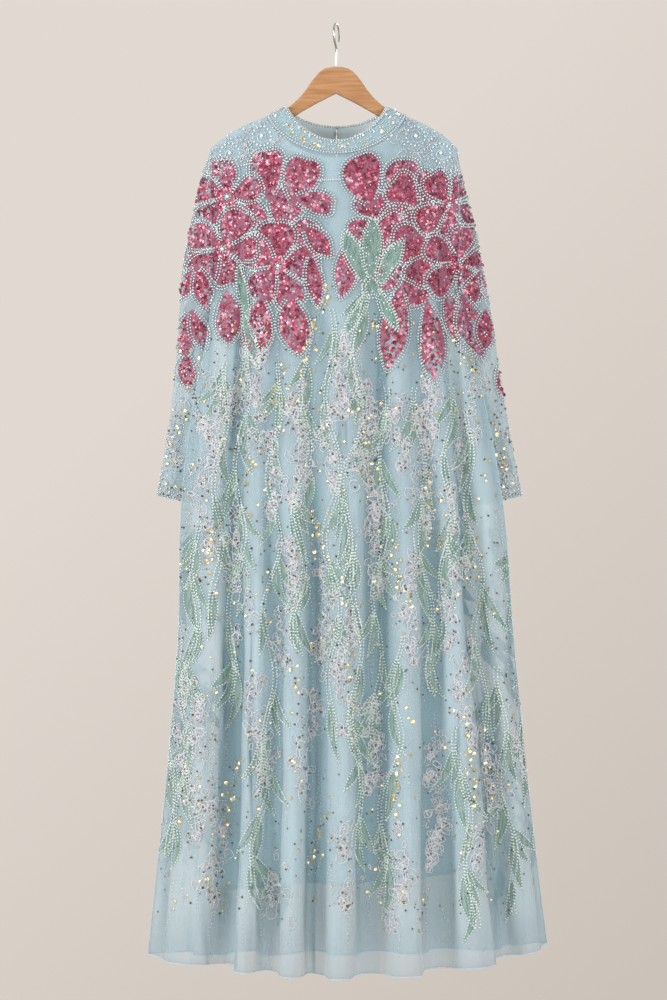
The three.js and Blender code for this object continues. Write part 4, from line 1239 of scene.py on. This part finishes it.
def bead_outline(cloth, kind, outline, root, covers):
    """A double row of beads around a petal, away from its root and from what covers it."""
    closed = np.vstack([outline, outline[:1]])
    for apart in (-OUTLINE["apart"], OUTLINE["apart"]):
        ring = shrink(closed, apart)
        at = np.linspace(0, len(ring) - 1, 240)
        points = np.stack([np.interp(at, range(len(ring)), line) for line in ring.T], -1)
        hidden = np.linalg.norm(points - outline[0], axis=1) < root
        for cover in covers:
            hidden |= inside(cover, points)
        runs = [[]]
        for point, off in zip(points, hidden):
            if off:
                runs.append([])
            else:
                runs[-1].append(point)
        for run in runs:
            if len(run) > 3:
                for found in cloth.run(*np.array(run).T, OUTLINE["pitch"]):
                    put(kind, found, OUTLINE["lift"])


def button(cloth, x, z):
    for radius, count, kind, size in BUTTON:
        for k in range(count):
            a = 2 * math.pi * (k + random.uniform(0, 0.4)) / count
            tilt = 0.3 if radius > 6 else 0
            across, up = radius * math.cos(a), radius * math.sin(a)
            put_over(cloth, x + across, z + up, kind, ROSETTE_LIFT, size, tilt)


def embroider_flowers(side):
    cloth = CLOTHS[side]
    rows = [flower_petals(*row) for row in FLOWERS[side]]
    petals = [p for row in rows for p in row]
    blooms = len(petals)
    petals += CALYX[side]
    outlines = [petal_outline(*p) for p in petals]
    covers = [shrink(o, 1.0) for o in outlines]
    for i, outline in enumerate(outlines):
        low, high = outline.min(0), outline.max(0)
        near = [
            j
            for j in range(i + 1, len(outlines))
            if (outlines[j].min(0) < high).all() and (outlines[j].max(0) > low).all()
        ]
        kind = "outline" if i < blooms else "stem"
        bead_outline(cloth, kind, outline, 0.13 * petals[i][2], [covers[j] for j in near])
        if i < blooms:
            later = [shrink(outlines[j], -SEQUIN["clear"]) for j in near]
            sequin_fill(cloth, outline, later, TONES[i % len(TONES)])
            petal_patches[side].append(shrink(outline, PATCH_INSET))
        else:
            leaf_fill(cloth, outline, covers[i + 1 :])
    # a button at the centre of each small bloom that no later petal covers
    done = 0
    for (x, z, size, number, *_), made in zip(FLOWERS[side], rows):
        done += len(made)
        covered = any(inside(c, np.array([[x, z]]))[0] for c in covers[done:])
        if number >= BLOOM_FROM and size <= LARGE_BLOOM and not covered:
            button(cloth, x, z)


# ---------------------------------------------------------------- stems, leaves, lace and trails

# Across and down at the top and at the foot, sway, number of waves, leaves.
STEMS = {
    FRONT: [
        (-146, -520, -176, -1120, 12, 2.5, 7), (-184, -560, -206, -1000, 10, 2.0, 5),
        (-96, -560, -118, -1240, 14, 3.0, 7), (-48, -520, -70, -1030, 12, 2.5, 6),
        (-8, -470, -4, -1180, 13, 3.0, 6), (44, -430, 14, -900, 16, 2.0, 6),
        (30, -860, 34, -1360, 10, 2.0, 6), (84, -600, 60, -1180, 12, 2.5, 7),
        (128, -600, 156, -1100, 12, 2.0, 6), (188, -600, 176, -1010, 10, 2.0, 5),
        (214, -640, 246, -1180, 12, 2.5, 6), (-226, -820, -262, -1350, 12, 2.5, 7),
        (-110, -1120, -140, -1420, 10, 1.5, 4), (110, -1010, 70, -1440, 14, 2.0, 5),
        (196, -1160, 232, -1490, 10, 1.5, 5), (264, -1060, 296, -1470, 10, 2.0, 5),
    ],
    BACK: [
        (-150, -540, -180, -1120, 12, 2.5, 7), (-96, -560, -110, -1240, 14, 3.0, 7),
        (-40, -420, -56, -1080, 12, 2.5, 7), (12, -380, 6, -1000, 14, 2.5, 7),
        (66, -560, 60, -1200, 12, 2.5, 7), (130, -590, 150, -1120, 12, 2.0, 6),
        (196, -620, 214, -1180, 10, 2.5, 6), (256, -600, 282, -760, 6, 1.0, 3),
        (-246, -600, -272, -760, 6, 1.0, 3), (-220, -820, -256, -1360, 12, 2.5, 6),
        (100, -1040, 84, -1440, 12, 2.0, 5), (-60, -1130, -84, -1450, 10, 2.0, 5),
        (250, -1080, 286, -1460, 10, 2.0, 5),
    ],
    LEFT: [(-14, -830, -26, -1410, 12, 2.0, 6), (24, -1000, 34, -1380, 10, 1.5, 3)],
    RIGHT: [(-22, -830, -8, -1420, 12, 2.0, 6), (30, -960, 26, -1330, 10, 1.5, 3)],
}
STEM = dict(points=90, pitch=5.4, lift=1.5, apart=2.1)
LEAF = dict(length=84, width=15, steps=9, pitch=4.9, lift=1.4, bead=0.86, broad=15.5)
VEIN = dict(pitch=5, lift=1.1, apart=0.3)
LEAF_PATCH = dict(lift=0.7, widest=26)
leaf_points, leaf_faces = [], []


def blade(cloth, x, z, length, width, turn, bend):
    """One leaf: a patch of thread, bead rows along both edges and cords along its veins."""
    share = np.linspace(0, 1, LEAF["steps"])
    angle = math.radians(turn)
    spine_x = x + length * (np.sin(angle) * share + bend * np.sin(np.pi * share) * math.cos(angle))
    spine_z = z - length * (np.cos(angle) * share - bend * np.sin(np.pi * share) * math.sin(angle))
    half = width / 2 * np.sin(np.pi * share**0.8) ** 0.8
    side_x, side_z = math.cos(angle), math.sin(angle)
    rows = []
    for across in (-1, 0, 1):
        line = []
        for sx, sz, h in zip(spine_x, spine_z, half):
            line.append(cloth.hit(sx + across * h * side_x, sz + across * h * side_z))
        rows.append(line)
    for a, b in ((0, 1), (1, 2)):
        for i in range(LEAF["steps"] - 1):
            corners = [rows[a][i], rows[b][i], rows[b][i + 1], rows[a][i + 1]]
            add_quad(leaf_points, leaf_faces, corners, **LEAF_PATCH)

    def lengthwise(across, pitch):
        return cloth.run(spine_x + across * half * side_x, spine_z + across * half * side_z, pitch)

    for across in (-1, 1):
        for found in lengthwise(across, LEAF["pitch"]):
            put("stem", found, LEAF["lift"], LEAF["bead"])
    for across in (-VEIN["apart"], VEIN["apart"]) if width > LEAF["broad"] else (0.0,):
        for found in lengthwise(across, VEIN["pitch"]):
            put_cord("vein", found, VEIN["lift"])


def embroider_stems(side):
    cloth = CLOTHS[side]
    for x0, z0, x1, z1, sway, count, leaves in STEMS[side]:
        t = np.linspace(0, 1, STEM["points"])
        phase = random.uniform(0, TURN)
        xs = lerp(x0, x1, t) + sway * np.sin(2 * np.pi * count * t + phase) * np.sin(np.pi * t) ** 0.5
        zs = lerp(z0, z1, t)
        for apart in (-STEM["apart"], STEM["apart"]):
            drift = apart * (1 + 0.7 * np.sin(7 * t + phase) ** 2)
            for found in cloth.run(xs + drift, zs, STEM["pitch"]):
                put("stem", found, STEM["lift"])
        for k in range(leaves):
            i = int(np.clip((k + random.uniform(0.1, 0.6)) / leaves * STEM["points"], 0, STEM["points"] - 2))
            hand = 1 if k % 2 else -1
            for sprig in range(random.integers(1, 3) + (k % 3 == 0)):
                turn = hand * (8 + 17 * sprig + random.uniform(-4, 6))
                length = LEAF["length"] * random.uniform(0.75, 1.3) * (1 - 0.14 * sprig)
                width = LEAF["width"] * random.uniform(0.75, 1.2)
                bend = -hand * random.uniform(0.04, 0.14)
                blade(cloth, xs[i], zs[i] + 5 * sprig, length, width, turn, bend)


# Across, down at the top and at the foot, and width.
LACE = {
    FRONT: [
        (-150, -540, -700, 34), (-168, -800, -1010, 32), (-214, -660, -860, 26),
        (-60, -600, -790, 36), (-76, -860, -1080, 34), (-6, -560, -760, 24), (44, -600, -800, 38),
        (20, -980, -1160, 30), (96, -620, -720, 30), (150, -640, -830, 34), (196, -700, -900, 28),
        (120, -880, -1040, 32), (-136, -1080, -1260, 34), (-44, -1110, -1290, 32),
        (16, -1330, -1450, 30), (104, -1330, -1490, 30), (166, -1180, -1380, 34),
        (214, -1010, -1180, 30), (-232, -1120, -1330, 32), (256, -1200, -1400, 30),
        (-268, -640, -780, 24), (276, -630, -780, 24), (-196, -1290, -1450, 26),
        (-100, -1380, -1480, 24), (232, -560, -680, 24), (-232, -560, -660, 22),
        (66, -1120, -1260, 28), (-126, -500, -640, 30), (18, -520, -640, 28), (150, -590, -680, 30),
        (-190, -600, -700, 26), (70, -780, -930, 28), (-20, -900, -1060, 26),
        (-110, -680, -800, 28), (190, -900, -1020, 26),
    ],
    BACK: [
        (-150, -560, -760, 34), (-70, -600, -800, 34), (-10, -540, -740, 30), (60, -640, -840, 34),
        (150, -640, -830, 34), (200, -760, -960, 28), (-200, -740, -940, 28),
        (-120, -900, -1110, 34), (-30, -980, -1180, 32), (100, -960, -1140, 32),
        (170, -1080, -1290, 32), (-170, -1180, -1400, 32), (30, -1240, -1420, 30),
        (-90, -1300, -1470, 28), (240, -1200, -1420, 30), (-250, -1160, -1380, 30),
        (-266, -640, -780, 24), (276, -630, -780, 24),
    ],
    LEFT: [(12, -860, -1000, 28), (-34, -1080, -1240, 28), (14, -1290, -1430, 26)],
    RIGHT: [(4, -850, -980, 28), (-24, -1120, -1270, 28), (20, -1300, -1440, 26)],
}
CURL = dict(radius=10.2, pitch=11.6, points=9, longest=12, lift=1.0)
LACE_FILL = dict.fromkeys(EYE, 1.45) | {FRONT: 1.8}


def curl(cloth, x, z, radius):
    """A loop or a scroll of cord, flattened one way and uneven."""
    turns = random.uniform(0.8, 1.35)
    t = np.linspace(0, turns * 2 * np.pi, CURL["points"])
    start, lobes = random.uniform(0, TURN), random.integers(1, 4)
    size = radius * (1 - random.uniform(0.1, 0.6) * t / t[-1]) * (1 + 0.28 * np.sin(lobes * t + start))
    flat, lean = random.uniform(0.4, 0.9), random.normal(1.57, 0.6)
    places = []
    for a, r in zip(t, size):
        u, v = r * math.cos(a + start), r * flat * math.sin(a + start)
        across, up = u * math.cos(lean) - v * math.sin(lean), u * math.sin(lean) + v * math.cos(lean)
        hit = cloth.hit(x + across, z + up)
        if hit is None:
            return
        places.append(hit)
    if max(np.linalg.norm(a[0] - b[0]) for a, b in zip(places, places[1:])) < CURL["longest"]:
        put_cord("lace", places, CURL["lift"])


def embroider_lace(side):
    cloth = CLOTHS[side]
    for x, top, foot, width in LACE[side]:
        top, foot = top + 12, foot - 14
        height = top - foot
        count = int(height * width * LACE_FILL[side] / CURL["pitch"] ** 2)
        lean = random.uniform(-14, 14)
        for _ in range(count):
            down = random.random()
            shape = math.sin(math.pi * min(max(down * 0.9 + 0.08, 0), 1)) ** 0.5
            px = x + lean * down + random.normal(0, 0.34) * width * shape + 9 * math.sin(down * 8 + x)
            pz = top - height * down
            curl(cloth, px, pz, CURL["radius"] * random.uniform(0.5, 1.35))
            hit = cloth.hit(px + random.uniform(-4, 4), pz + random.uniform(-4, 4))
            if hit is None:
                continue
            if random.random() < 0.36:
                put("dark", [hit], 1.4, random.uniform(0.7, 1.15), 0.2)
            else:
                put("seed", [hit], 1.3, random.uniform(0.9, 1.3))


# Gold trails: across and down at both ends, and how many paillettes.
TRAILS = {
    FRONT: [
        (-12, -430, -58, -560, 22), (-80, -560, -118, -640, 12), (196, -520, 232, -580, 12),
        (40, -640, 66, -760, 14), (150, -760, 176, -880, 14), (-130, -700, -160, -800, 12),
        (-200, -820, -226, -930, 12), (-40, -800, -10, -900, 12), (96, -860, 110, -960, 12),
        (-92, -1010, -60, -1110, 14), (20, -1020, 34, -1130, 12), (214, -1150, 232, -1300, 24),
        (240, -1160, 262, -1290, 16), (-160, -1210, -190, -1330, 16),
        (-252, -1230, -262, -1330, 12), (-20, -1300, -44, -1400, 12), (110, -1210, 90, -1310, 14),
        (150, -1430, 130, -1500, 10), (-216, -1400, -190, -1470, 10), (256, -640, 280, -740, 12),
        (-250, -640, -280, -730, 12), (60, -480, 84, -560, 8),
    ],
    BACK: [
        (-60, -560, -100, -680, 14), (90, -580, 120, -690, 14), (10, -700, 30, -820, 12),
        (-160, -760, -190, -880, 14), (160, -820, 190, -940, 14), (-60, -1040, -90, -1150, 14),
        (110, -1180, 90, -1300, 14), (-210, -1240, -190, -1350, 12), (230, -1240, 256, -1350, 14),
        (20, -1400, 0, -1480, 10), (256, -640, 280, -740, 12), (-250, -640, -276, -730, 12),
    ],
    LEFT: [(-20, -900, 0, -1010, 10), (10, -1160, -6, -1270, 12)],
    RIGHT: [(16, -880, 0, -990, 10), (-20, -1190, 0, -1300, 12)],
}
TRAIL_FILL = 1.35


def embroider_trails(side):
    cloth = CLOTHS[side]
    for x0, z0, x1, z1, count in TRAILS[side]:
        count = int(count * TRAIL_FILL)
        for k in range(count):
            t = (k + random.uniform(-0.3, 0.3)) / count
            hit = cloth.hit(lerp(x0, x1, t) + random.normal(0, 5), lerp(z0, z1, t) + random.normal(0, 3))
            if hit is not None:
                kind = "gold" if random.random() < 0.7 else "dark"
                put(kind, [hit], 1.3, random.uniform(0.7, 1.3), 0.25)
        for k in range(3):
            t = np.linspace(0, 1, 12)
            xs = lerp(x0, x1, t) + 6 * np.sin(t * 5 + k * 2) + (k - 1) * 7
            for found in cloth.run(xs, lerp(z0, z1, t), 6.5):
                put("seed", found, 1.2, 1.0)


SCATTER = {"seed": 760, "dark": 700, "gold": 340}
STRINGS = 230
SIDE_SHARE = 0.12


def embroider_scatter(side):
    """Single beads and short strings of them strewn over the net, thinner towards the hem."""
    cloth = CLOTHS[side]
    share = 1 if side in (FRONT, BACK) else SIDE_SHARE

    def place():
        if share < 1:
            return random.uniform(-50, 50), random.uniform(-1470, -500)
        z = -490 - 980 * random.random() ** 1.25
        reach = 300 if z > -790 else float(read(TULLE_BODY, BODY_COLUMNS, "right", z))
        return random.uniform(-reach, reach), z

    for kind, count in SCATTER.items():
        for _ in range(int(count * share)):
            put_over(cloth, *place(), kind, 1.2, (0.7, 1.1), 0.2)
    for _ in range(int(STRINGS * share)):
        x, z = place()
        t = np.linspace(0, 1, 8)
        length = random.uniform(40, 120)
        xs = x + x / 1400 * length * t + 3 * np.sin(5 * t + x)
        for found in cloth.run(xs, z - length * t, random.uniform(5.5, 8)):
            put("seed", found, 1.3, 1.15)


YOKE = dict(count=680, bare_half=60, clear=27)


def embroider_yoke(side):
    """Corded silver lace and stones over both shoulders, from the neck to the flowers."""
    cloth = CLOTHS[side]
    for k in range(YOKE["count"]):
        x = random.uniform(-212, 206)
        if abs(x) < YOKE["bare_half"]:
            continue
        edge = 150 + max(0, abs(x) - 100) * 0.34 + max(0, abs(x) - 170) * 0.6
        z = -edge - random.random() ** 1.2 * (64 if abs(x) > 100 else 40)
        hit = cloth.hit(x, z)
        if hit is None or min(math.hypot(x - a, z - b) for a, b in ROSETTES) < YOKE["clear"]:
            continue
        if k % 2:
            curl(cloth, x, z, random.uniform(8, 13))
        else:
            put("seed" if random.random() < 0.7 else "crystal", [hit], 1.3, random.uniform(0.9, 1.3), 0.2)
    for x, z in ROSETTES:
        for radius, count, kind, size in ROSETTE:
            for k in range(count):
                a = 2 * math.pi * k / count
                wide = radius * (1 + (0.16 * math.cos(6 * a) if radius > 20 else 0))
                put_over(cloth, x + wide * math.cos(a), z + wide * math.sin(a), kind, ROSETTE_LIFT, size)
        for k in range(8):
            a = math.pi * (k + 0.5) / 4
            curl(cloth, x + 22 * math.cos(a), z + 22 * math.sin(a), 6)
        # a scroll of thick cord around the middle stone
        for start in (0, math.pi):
            r = np.linspace(3, 12.5, 15)
            a = start + r / 2.2
            scroll = [cloth.hit(*place) for place in zip(x + r * np.cos(a), z + r * np.sin(a))]
            if None not in scroll:
                put_cord("lace", scroll, ROSETTE_LIFT)


# a row of beads across the throat of the front
for found in CLOTHS[FRONT].run(np.array([-30.0, 6.0]), np.array([-256.0, -255.0]), 3.4):
    put("stem", found, 1.2)
for side in (FRONT, BACK):
    embroider_flowers(side)
    embroider_yoke(side)
for side in EYE:
    embroider_stems(side)
    embroider_lace(side)
    embroider_trails(side)
    embroider_scatter(side)


# ---------------------------------------------------------------- neck band, cuffs and hems


def along_grid(line, normals, step, closed=True):
    """Even steps along a line of points."""
    points = np.vstack([line, line[:1]]) if closed else np.asarray(line)
    out = np.vstack([normals, normals[:1]]) if closed else np.asarray(normals)
    lengths = np.concatenate([[0], np.cumsum(np.linalg.norm(np.diff(points, axis=0), axis=1))])
    at = np.arange(0, lengths[-1], step)
    made = [np.stack([np.interp(at, lengths, v[:, k]) for k in range(3)], -1) for v in (points, out)]
    return list(zip(*made))


def band_line(share, face):
    row = share * (band.shape[1] - 1)
    j = min(int(row), band.shape[1] - 2)
    line = lerp(band[:, j], band[:, j + 1], row - j)
    out = lerp(band_normals[:, j], band_normals[:, j + 1], row - j)
    kept = np.roll(np.arange(len(line)), -(band_middle + 1))[:-1]
    return line[kept], out[kept] * face


def pick(choice, kinds):
    """The kind whose share of 1 a drawn number falls in."""
    return next(kind for kind, end in kinds if choice < end)


BAND_KINDS = (("seed", 0.6), ("outline", 0.88), ("crystal", 0.98), ("gold", 1.0))
CUFF_KINDS = (("seed", 0.74), ("outline", 0.88), ("crystal", 0.93), ("dark", 1.0))
BEAD_STEP = 4.6
BAND_LIFT = BAND / 2 + 0.7
CUFF_LIFT = 1.1

for share, step, size in ((0.06, BEAD_STEP, 1.1), (0.2, 4.8, 0.85), (0.93, BEAD_STEP, 1.0)):
    line, out = band_line(share, 1)
    put("outline", along_grid(line, out, step, False), BAND_LIFT, size)
for share in np.linspace(0.3, 0.86, 6):
    line, out = band_line(share, 1)
    for place, normal in along_grid(line, out, BEAD_STEP, False):
        kind = pick(random.random(), BAND_KINDS)
        jitter = random.normal(0, 0.7, 3)
        place = place + jitter - normal * (jitter @ normal)
        put(kind, [(place, normal)], BAND_LIFT, random.uniform(0.6, 1.0), 0.2)
for k in range(54):
    line, out = band_line(random.uniform(0.3, 0.84), 1)
    found = along_grid(line, out, BEAD_STEP, False)
    kind, sizes = ("crystal", (0.9, 2.0)) if k % 3 else ("gold", (0.8, 1.3))
    put(kind, [found[random.integers(len(found))]], BAND / 2 + 1, random.uniform(*sizes), 0.2)
line, out = band_line(1.0, 1)
put("seed", along_grid(line, np.tile([0, 0, 1.0], (len(line), 1)), 2.4, False), 0.8, 1.2)
line, out = band_line(0.97, -1)
put("outline", along_grid(line, out, BEAD_STEP, False), BAND / 2 + 0.6, 0.8)

# Rows around a cuff: height over its edge, kind, step and size.
CUFF_ROWS = (
    (2.0, "outline", BEAD_STEP, 0.8),
    (7, "seed", 3.2, 1.2),
    (12, "crystal", 8, 0.9),
    (17, "outline", 4.8, 0.8),
    (24, "gold", 17, 0.9),
)
for hand in HANDS:
    grid, normals = sleeve_grids[hand], sleeve_normals[hand]
    lengths = np.cumsum(np.linalg.norm(np.diff(grid[0][::-1], axis=0), axis=1))
    for up, kind, step, size in CUFF_ROWS:
        j = int(np.searchsorted(lengths, up))
        low = 0 if j == 0 else lengths[j - 1]
        share = (up - low) / (lengths[j] - low)
        line = lerp(grid[:, -1 - j], grid[:, -2 - j], share)
        out = lerp(normals[:, -1 - j], normals[:, -2 - j], share)
        put(kind, along_grid(line, out, step), CUFF_LIFT, size, 0.1)
    for _ in range(700):
        i = random.integers(len(grid))
        j = -2 - int(random.random() ** 1.9 * 12)
        k = (i + 1) % len(grid)
        s, t = random.random(2)
        place = lerp(lerp(grid[i, j], grid[k, j], s), lerp(grid[i, j + 1], grid[k, j + 1], s), t)
        kind = pick(random.random(), CUFF_KINDS)
        put(kind, [(place, normals[i, j])], CUFF_LIFT, random.uniform(0.7, 1.2), 0.2)

closed_cuffs = [np.vstack([grid[:, -1], grid[:1, -1]]) for grid in sleeve_grids.values()]
hem_runs = [front_grid[:, -1], back_grid[:, -1], *closed_cuffs]
seam_runs = [front_grid[column, ARM_STEPS:] + [out, 0, 0] for column, out in ((0, -0.3), (-1, 0.3))]

# ---------------------------------------------------------------- all the small parts as meshes

KINDS = {
    "outline": (BEADS, outline_bead, OUTLINE["diameter"]),
    "stem": (BEADS, pearl, 3.6),
    "pearl": (STONES, pearl, 3.2),
    "seed": (SEEDS, silver, 2.3),
    "green": (SEEDS, green_bead, 3.2),
    "crystal": (STONES, crystal, 3.2),
    "gold": (PAILLETTES, gold, 6.0),
    "dark": (PAILLETTES, bronze, 3.6),
}
KINDS.update({"sequin_" + tone: (SEQUINS, material, SEQUIN["diameter"]) for tone, material in PINKS.items()})
MOST_IN_PIECE = 9000
LACE_CORD = 0.76
pieces = []
for kind, (tree, material, diameter) in KINDS.items():
    kept = stud_store.get(kind, [])
    for part, start in enumerate(range(0, len(kept), MOST_IN_PIECE)):
        points, facings, sizes = zip(*kept[start : start + MOST_IN_PIECE])
        obj = studs(f"{kind}_{part + 1}", tree, material, diameter, points, facings, sizes)
        pieces.append((obj, "band" if kind == "crystal" else "tulle"))
half = len(cord_store["lace"]) // 2
for name, material, radius, runs, sides in (
    ("lace_cords_1", lace, LACE_CORD, cord_store["lace"][:half], 3),
    ("lace_cords_2", lace, LACE_CORD, cord_store["lace"][half:], 3),
    ("leaf_veins", leaf_vein, 0.5, cord_store["vein"], 3),
    ("rolled_hems", hem_cord, 0.8, hem_runs, 6),
    ("side_seams", hem_cord, 0.5, seam_runs, 4),
):
    pieces.append((cords(name, material, radius, runs, sides), "tulle"))


def patches(name, points, faces, material):
    obj = add_mesh(name, points, [], faces)
    obj.data.materials.append(material)
    pieces.append((obj, "tulle"))


PATCH_WIDEST = 34


def filled(name, outlines_by_side, lift, material):
    """Thread under the beads: each outline filled with cloth that follows the net."""
    points, faces = [], []
    for side, outlines in outlines_by_side.items():
        for outline in outlines:
            middle, edge = outline.mean(0), outline[::2]
            rings = [[CLOTHS[side].hit(*lerp(middle, p, share)) for p in edge] for share in (0.0, 0.5, 1.0)]
            for inner, outer in zip(rings, rings[1:]):
                for i in range(len(edge)):
                    k = (i + 1) % len(edge)
                    add_quad(points, faces, [inner[i], inner[k], outer[k], outer[i]], lift, PATCH_WIDEST)
    patches(name, points, faces, material)


patches("leaf_patches", leaf_points, leaf_faces, leaf)
filled("petal_patches", petal_patches, 0.5, petal_base)
filled("cup_patches", leaf_patches, 1.5, leaf)

# ---------------------------------------------------------------- the parts that are kept from the frame

for name, material in (
    ("hanger_body", wood),
    ("hanger_hook", steel),
    ("hook_tube", white_plastic),
    ("neck_eye", steel),
    ("neck_hook", steel),
):
    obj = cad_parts[name]
    if not obj.material_slots:
        obj.data.materials.append(material)
    for slot in obj.material_slots:
        slot.material = material

# ---------------------------------------------------------------- what rides on what

for piece, solid, slot_name, *_ in SEWN:
    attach(piece, "root")
    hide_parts(solid)
for piece, slot_name in pieces:
    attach(piece, "root")

# ---------------------------------------------------------------- stage, light and camera

FLOOR = dict(half=1380, z=-1900)
square = ((-1, -1), (1, -1), (1, 1), (-1, 1))
corners = [(x * FLOOR["half"], y * FLOOR["half"], FLOOR["z"]) for x, y in square]
floor = add_mesh("floor", corners, [], [(0, 1, 2, 3)])
floor.data.materials.append(principled("floor_paint", rgb(214, 205, 196), 0.95))

world = bpy.data.worlds.new("studio")
bpy.context.scene.world = world
world.use_nodes = True
sky = world.node_tree
lit = node(sky, "ShaderNodeBackground", {"Color": (*rgb(232, 230, 228), 1), "Strength": 0.64})
# the wall behind: painted shade, paler above and a little darker below
way = node(sky, "ShaderNodeTexCoord")
split = node(sky, "ShaderNodeSeparateXYZ", {"Vector": way.outputs["Generated"]}).outputs
slope = node(sky, "ShaderNodeMath", {0: split["X"], 1: -0.9, 2: split["Z"]}, operation="MULTIPLY_ADD")
shade = node(sky, "ShaderNodeValToRGB", {"Fac": ramp_in(sky, slope.outputs["Value"], -0.3, 0.12)})
shade.color_ramp.elements[0].color = (*rgb(203, 194, 185), 1)
shade.color_ramp.elements[1].color = (*rgb(225, 217, 209), 1)
seen = sky.nodes["Background"]
seen.inputs["Strength"].default_value = 1.0
path = node(sky, "ShaderNodeLightPath")
inputs = {"Fac": path.outputs["Is Camera Ray"], 1: lit.outputs["Background"], 2: seen.outputs["Background"]}
choose = node(sky, "ShaderNodeMixShader", inputs)
sky.links.new(shade.outputs["Color"], seen.inputs["Color"])
sky.links.new(choose.outputs["Shader"], sky.nodes["World Output"].inputs["Surface"])


def area_light(name, place, aim, size, power):
    data = bpy.data.lights.new(name, "AREA")
    data.shape = "RECTANGLE"
    data.size, data.size_y = size
    data.energy = power
    obj = add_to_scene(name, data)
    obj.location = place
    obj.rotation_euler = (Vector(aim) - Vector(place)).to_track_quat("-Z", "Y").to_euler()


area_light("key", (-3.4, -2.2, 0.3), (0, 0, -1.0), (1.0, 2.4), 112)
area_light("fill", (3.2, -3.0, -0.5), (0, 0, -1.0), (2.2, 2.6), 56)
area_light("top", (0.3, -0.4, 2.4), (0, 0, -0.6), (2.0, 2.0), 30)
area_light("low", (0.3, -3.4, -1.4), (0, 0, -1.2), (2.4, 0.8), 30)
area_light("back", (1.0, 3.6, 0.0), (0, 0, -0.8), (2.4, 2.4), 40)

camera_data = bpy.data.cameras.new("camera")
camera_data.lens = 89.45
camera_data.sensor_width = 36
camera = add_to_scene("camera", camera_data)
camera.location = np.array([EYE_X, -EYE_AWAY, EYE_Z]) * MM
camera.rotation_euler = (math.pi / 2, 0, 0)
scene = bpy.context.scene
scene.camera = camera
scene.view_settings.view_transform = "Standard"
scene.cycles.transparent_max_bounces = 32
scene.cycles.use_denoising = True
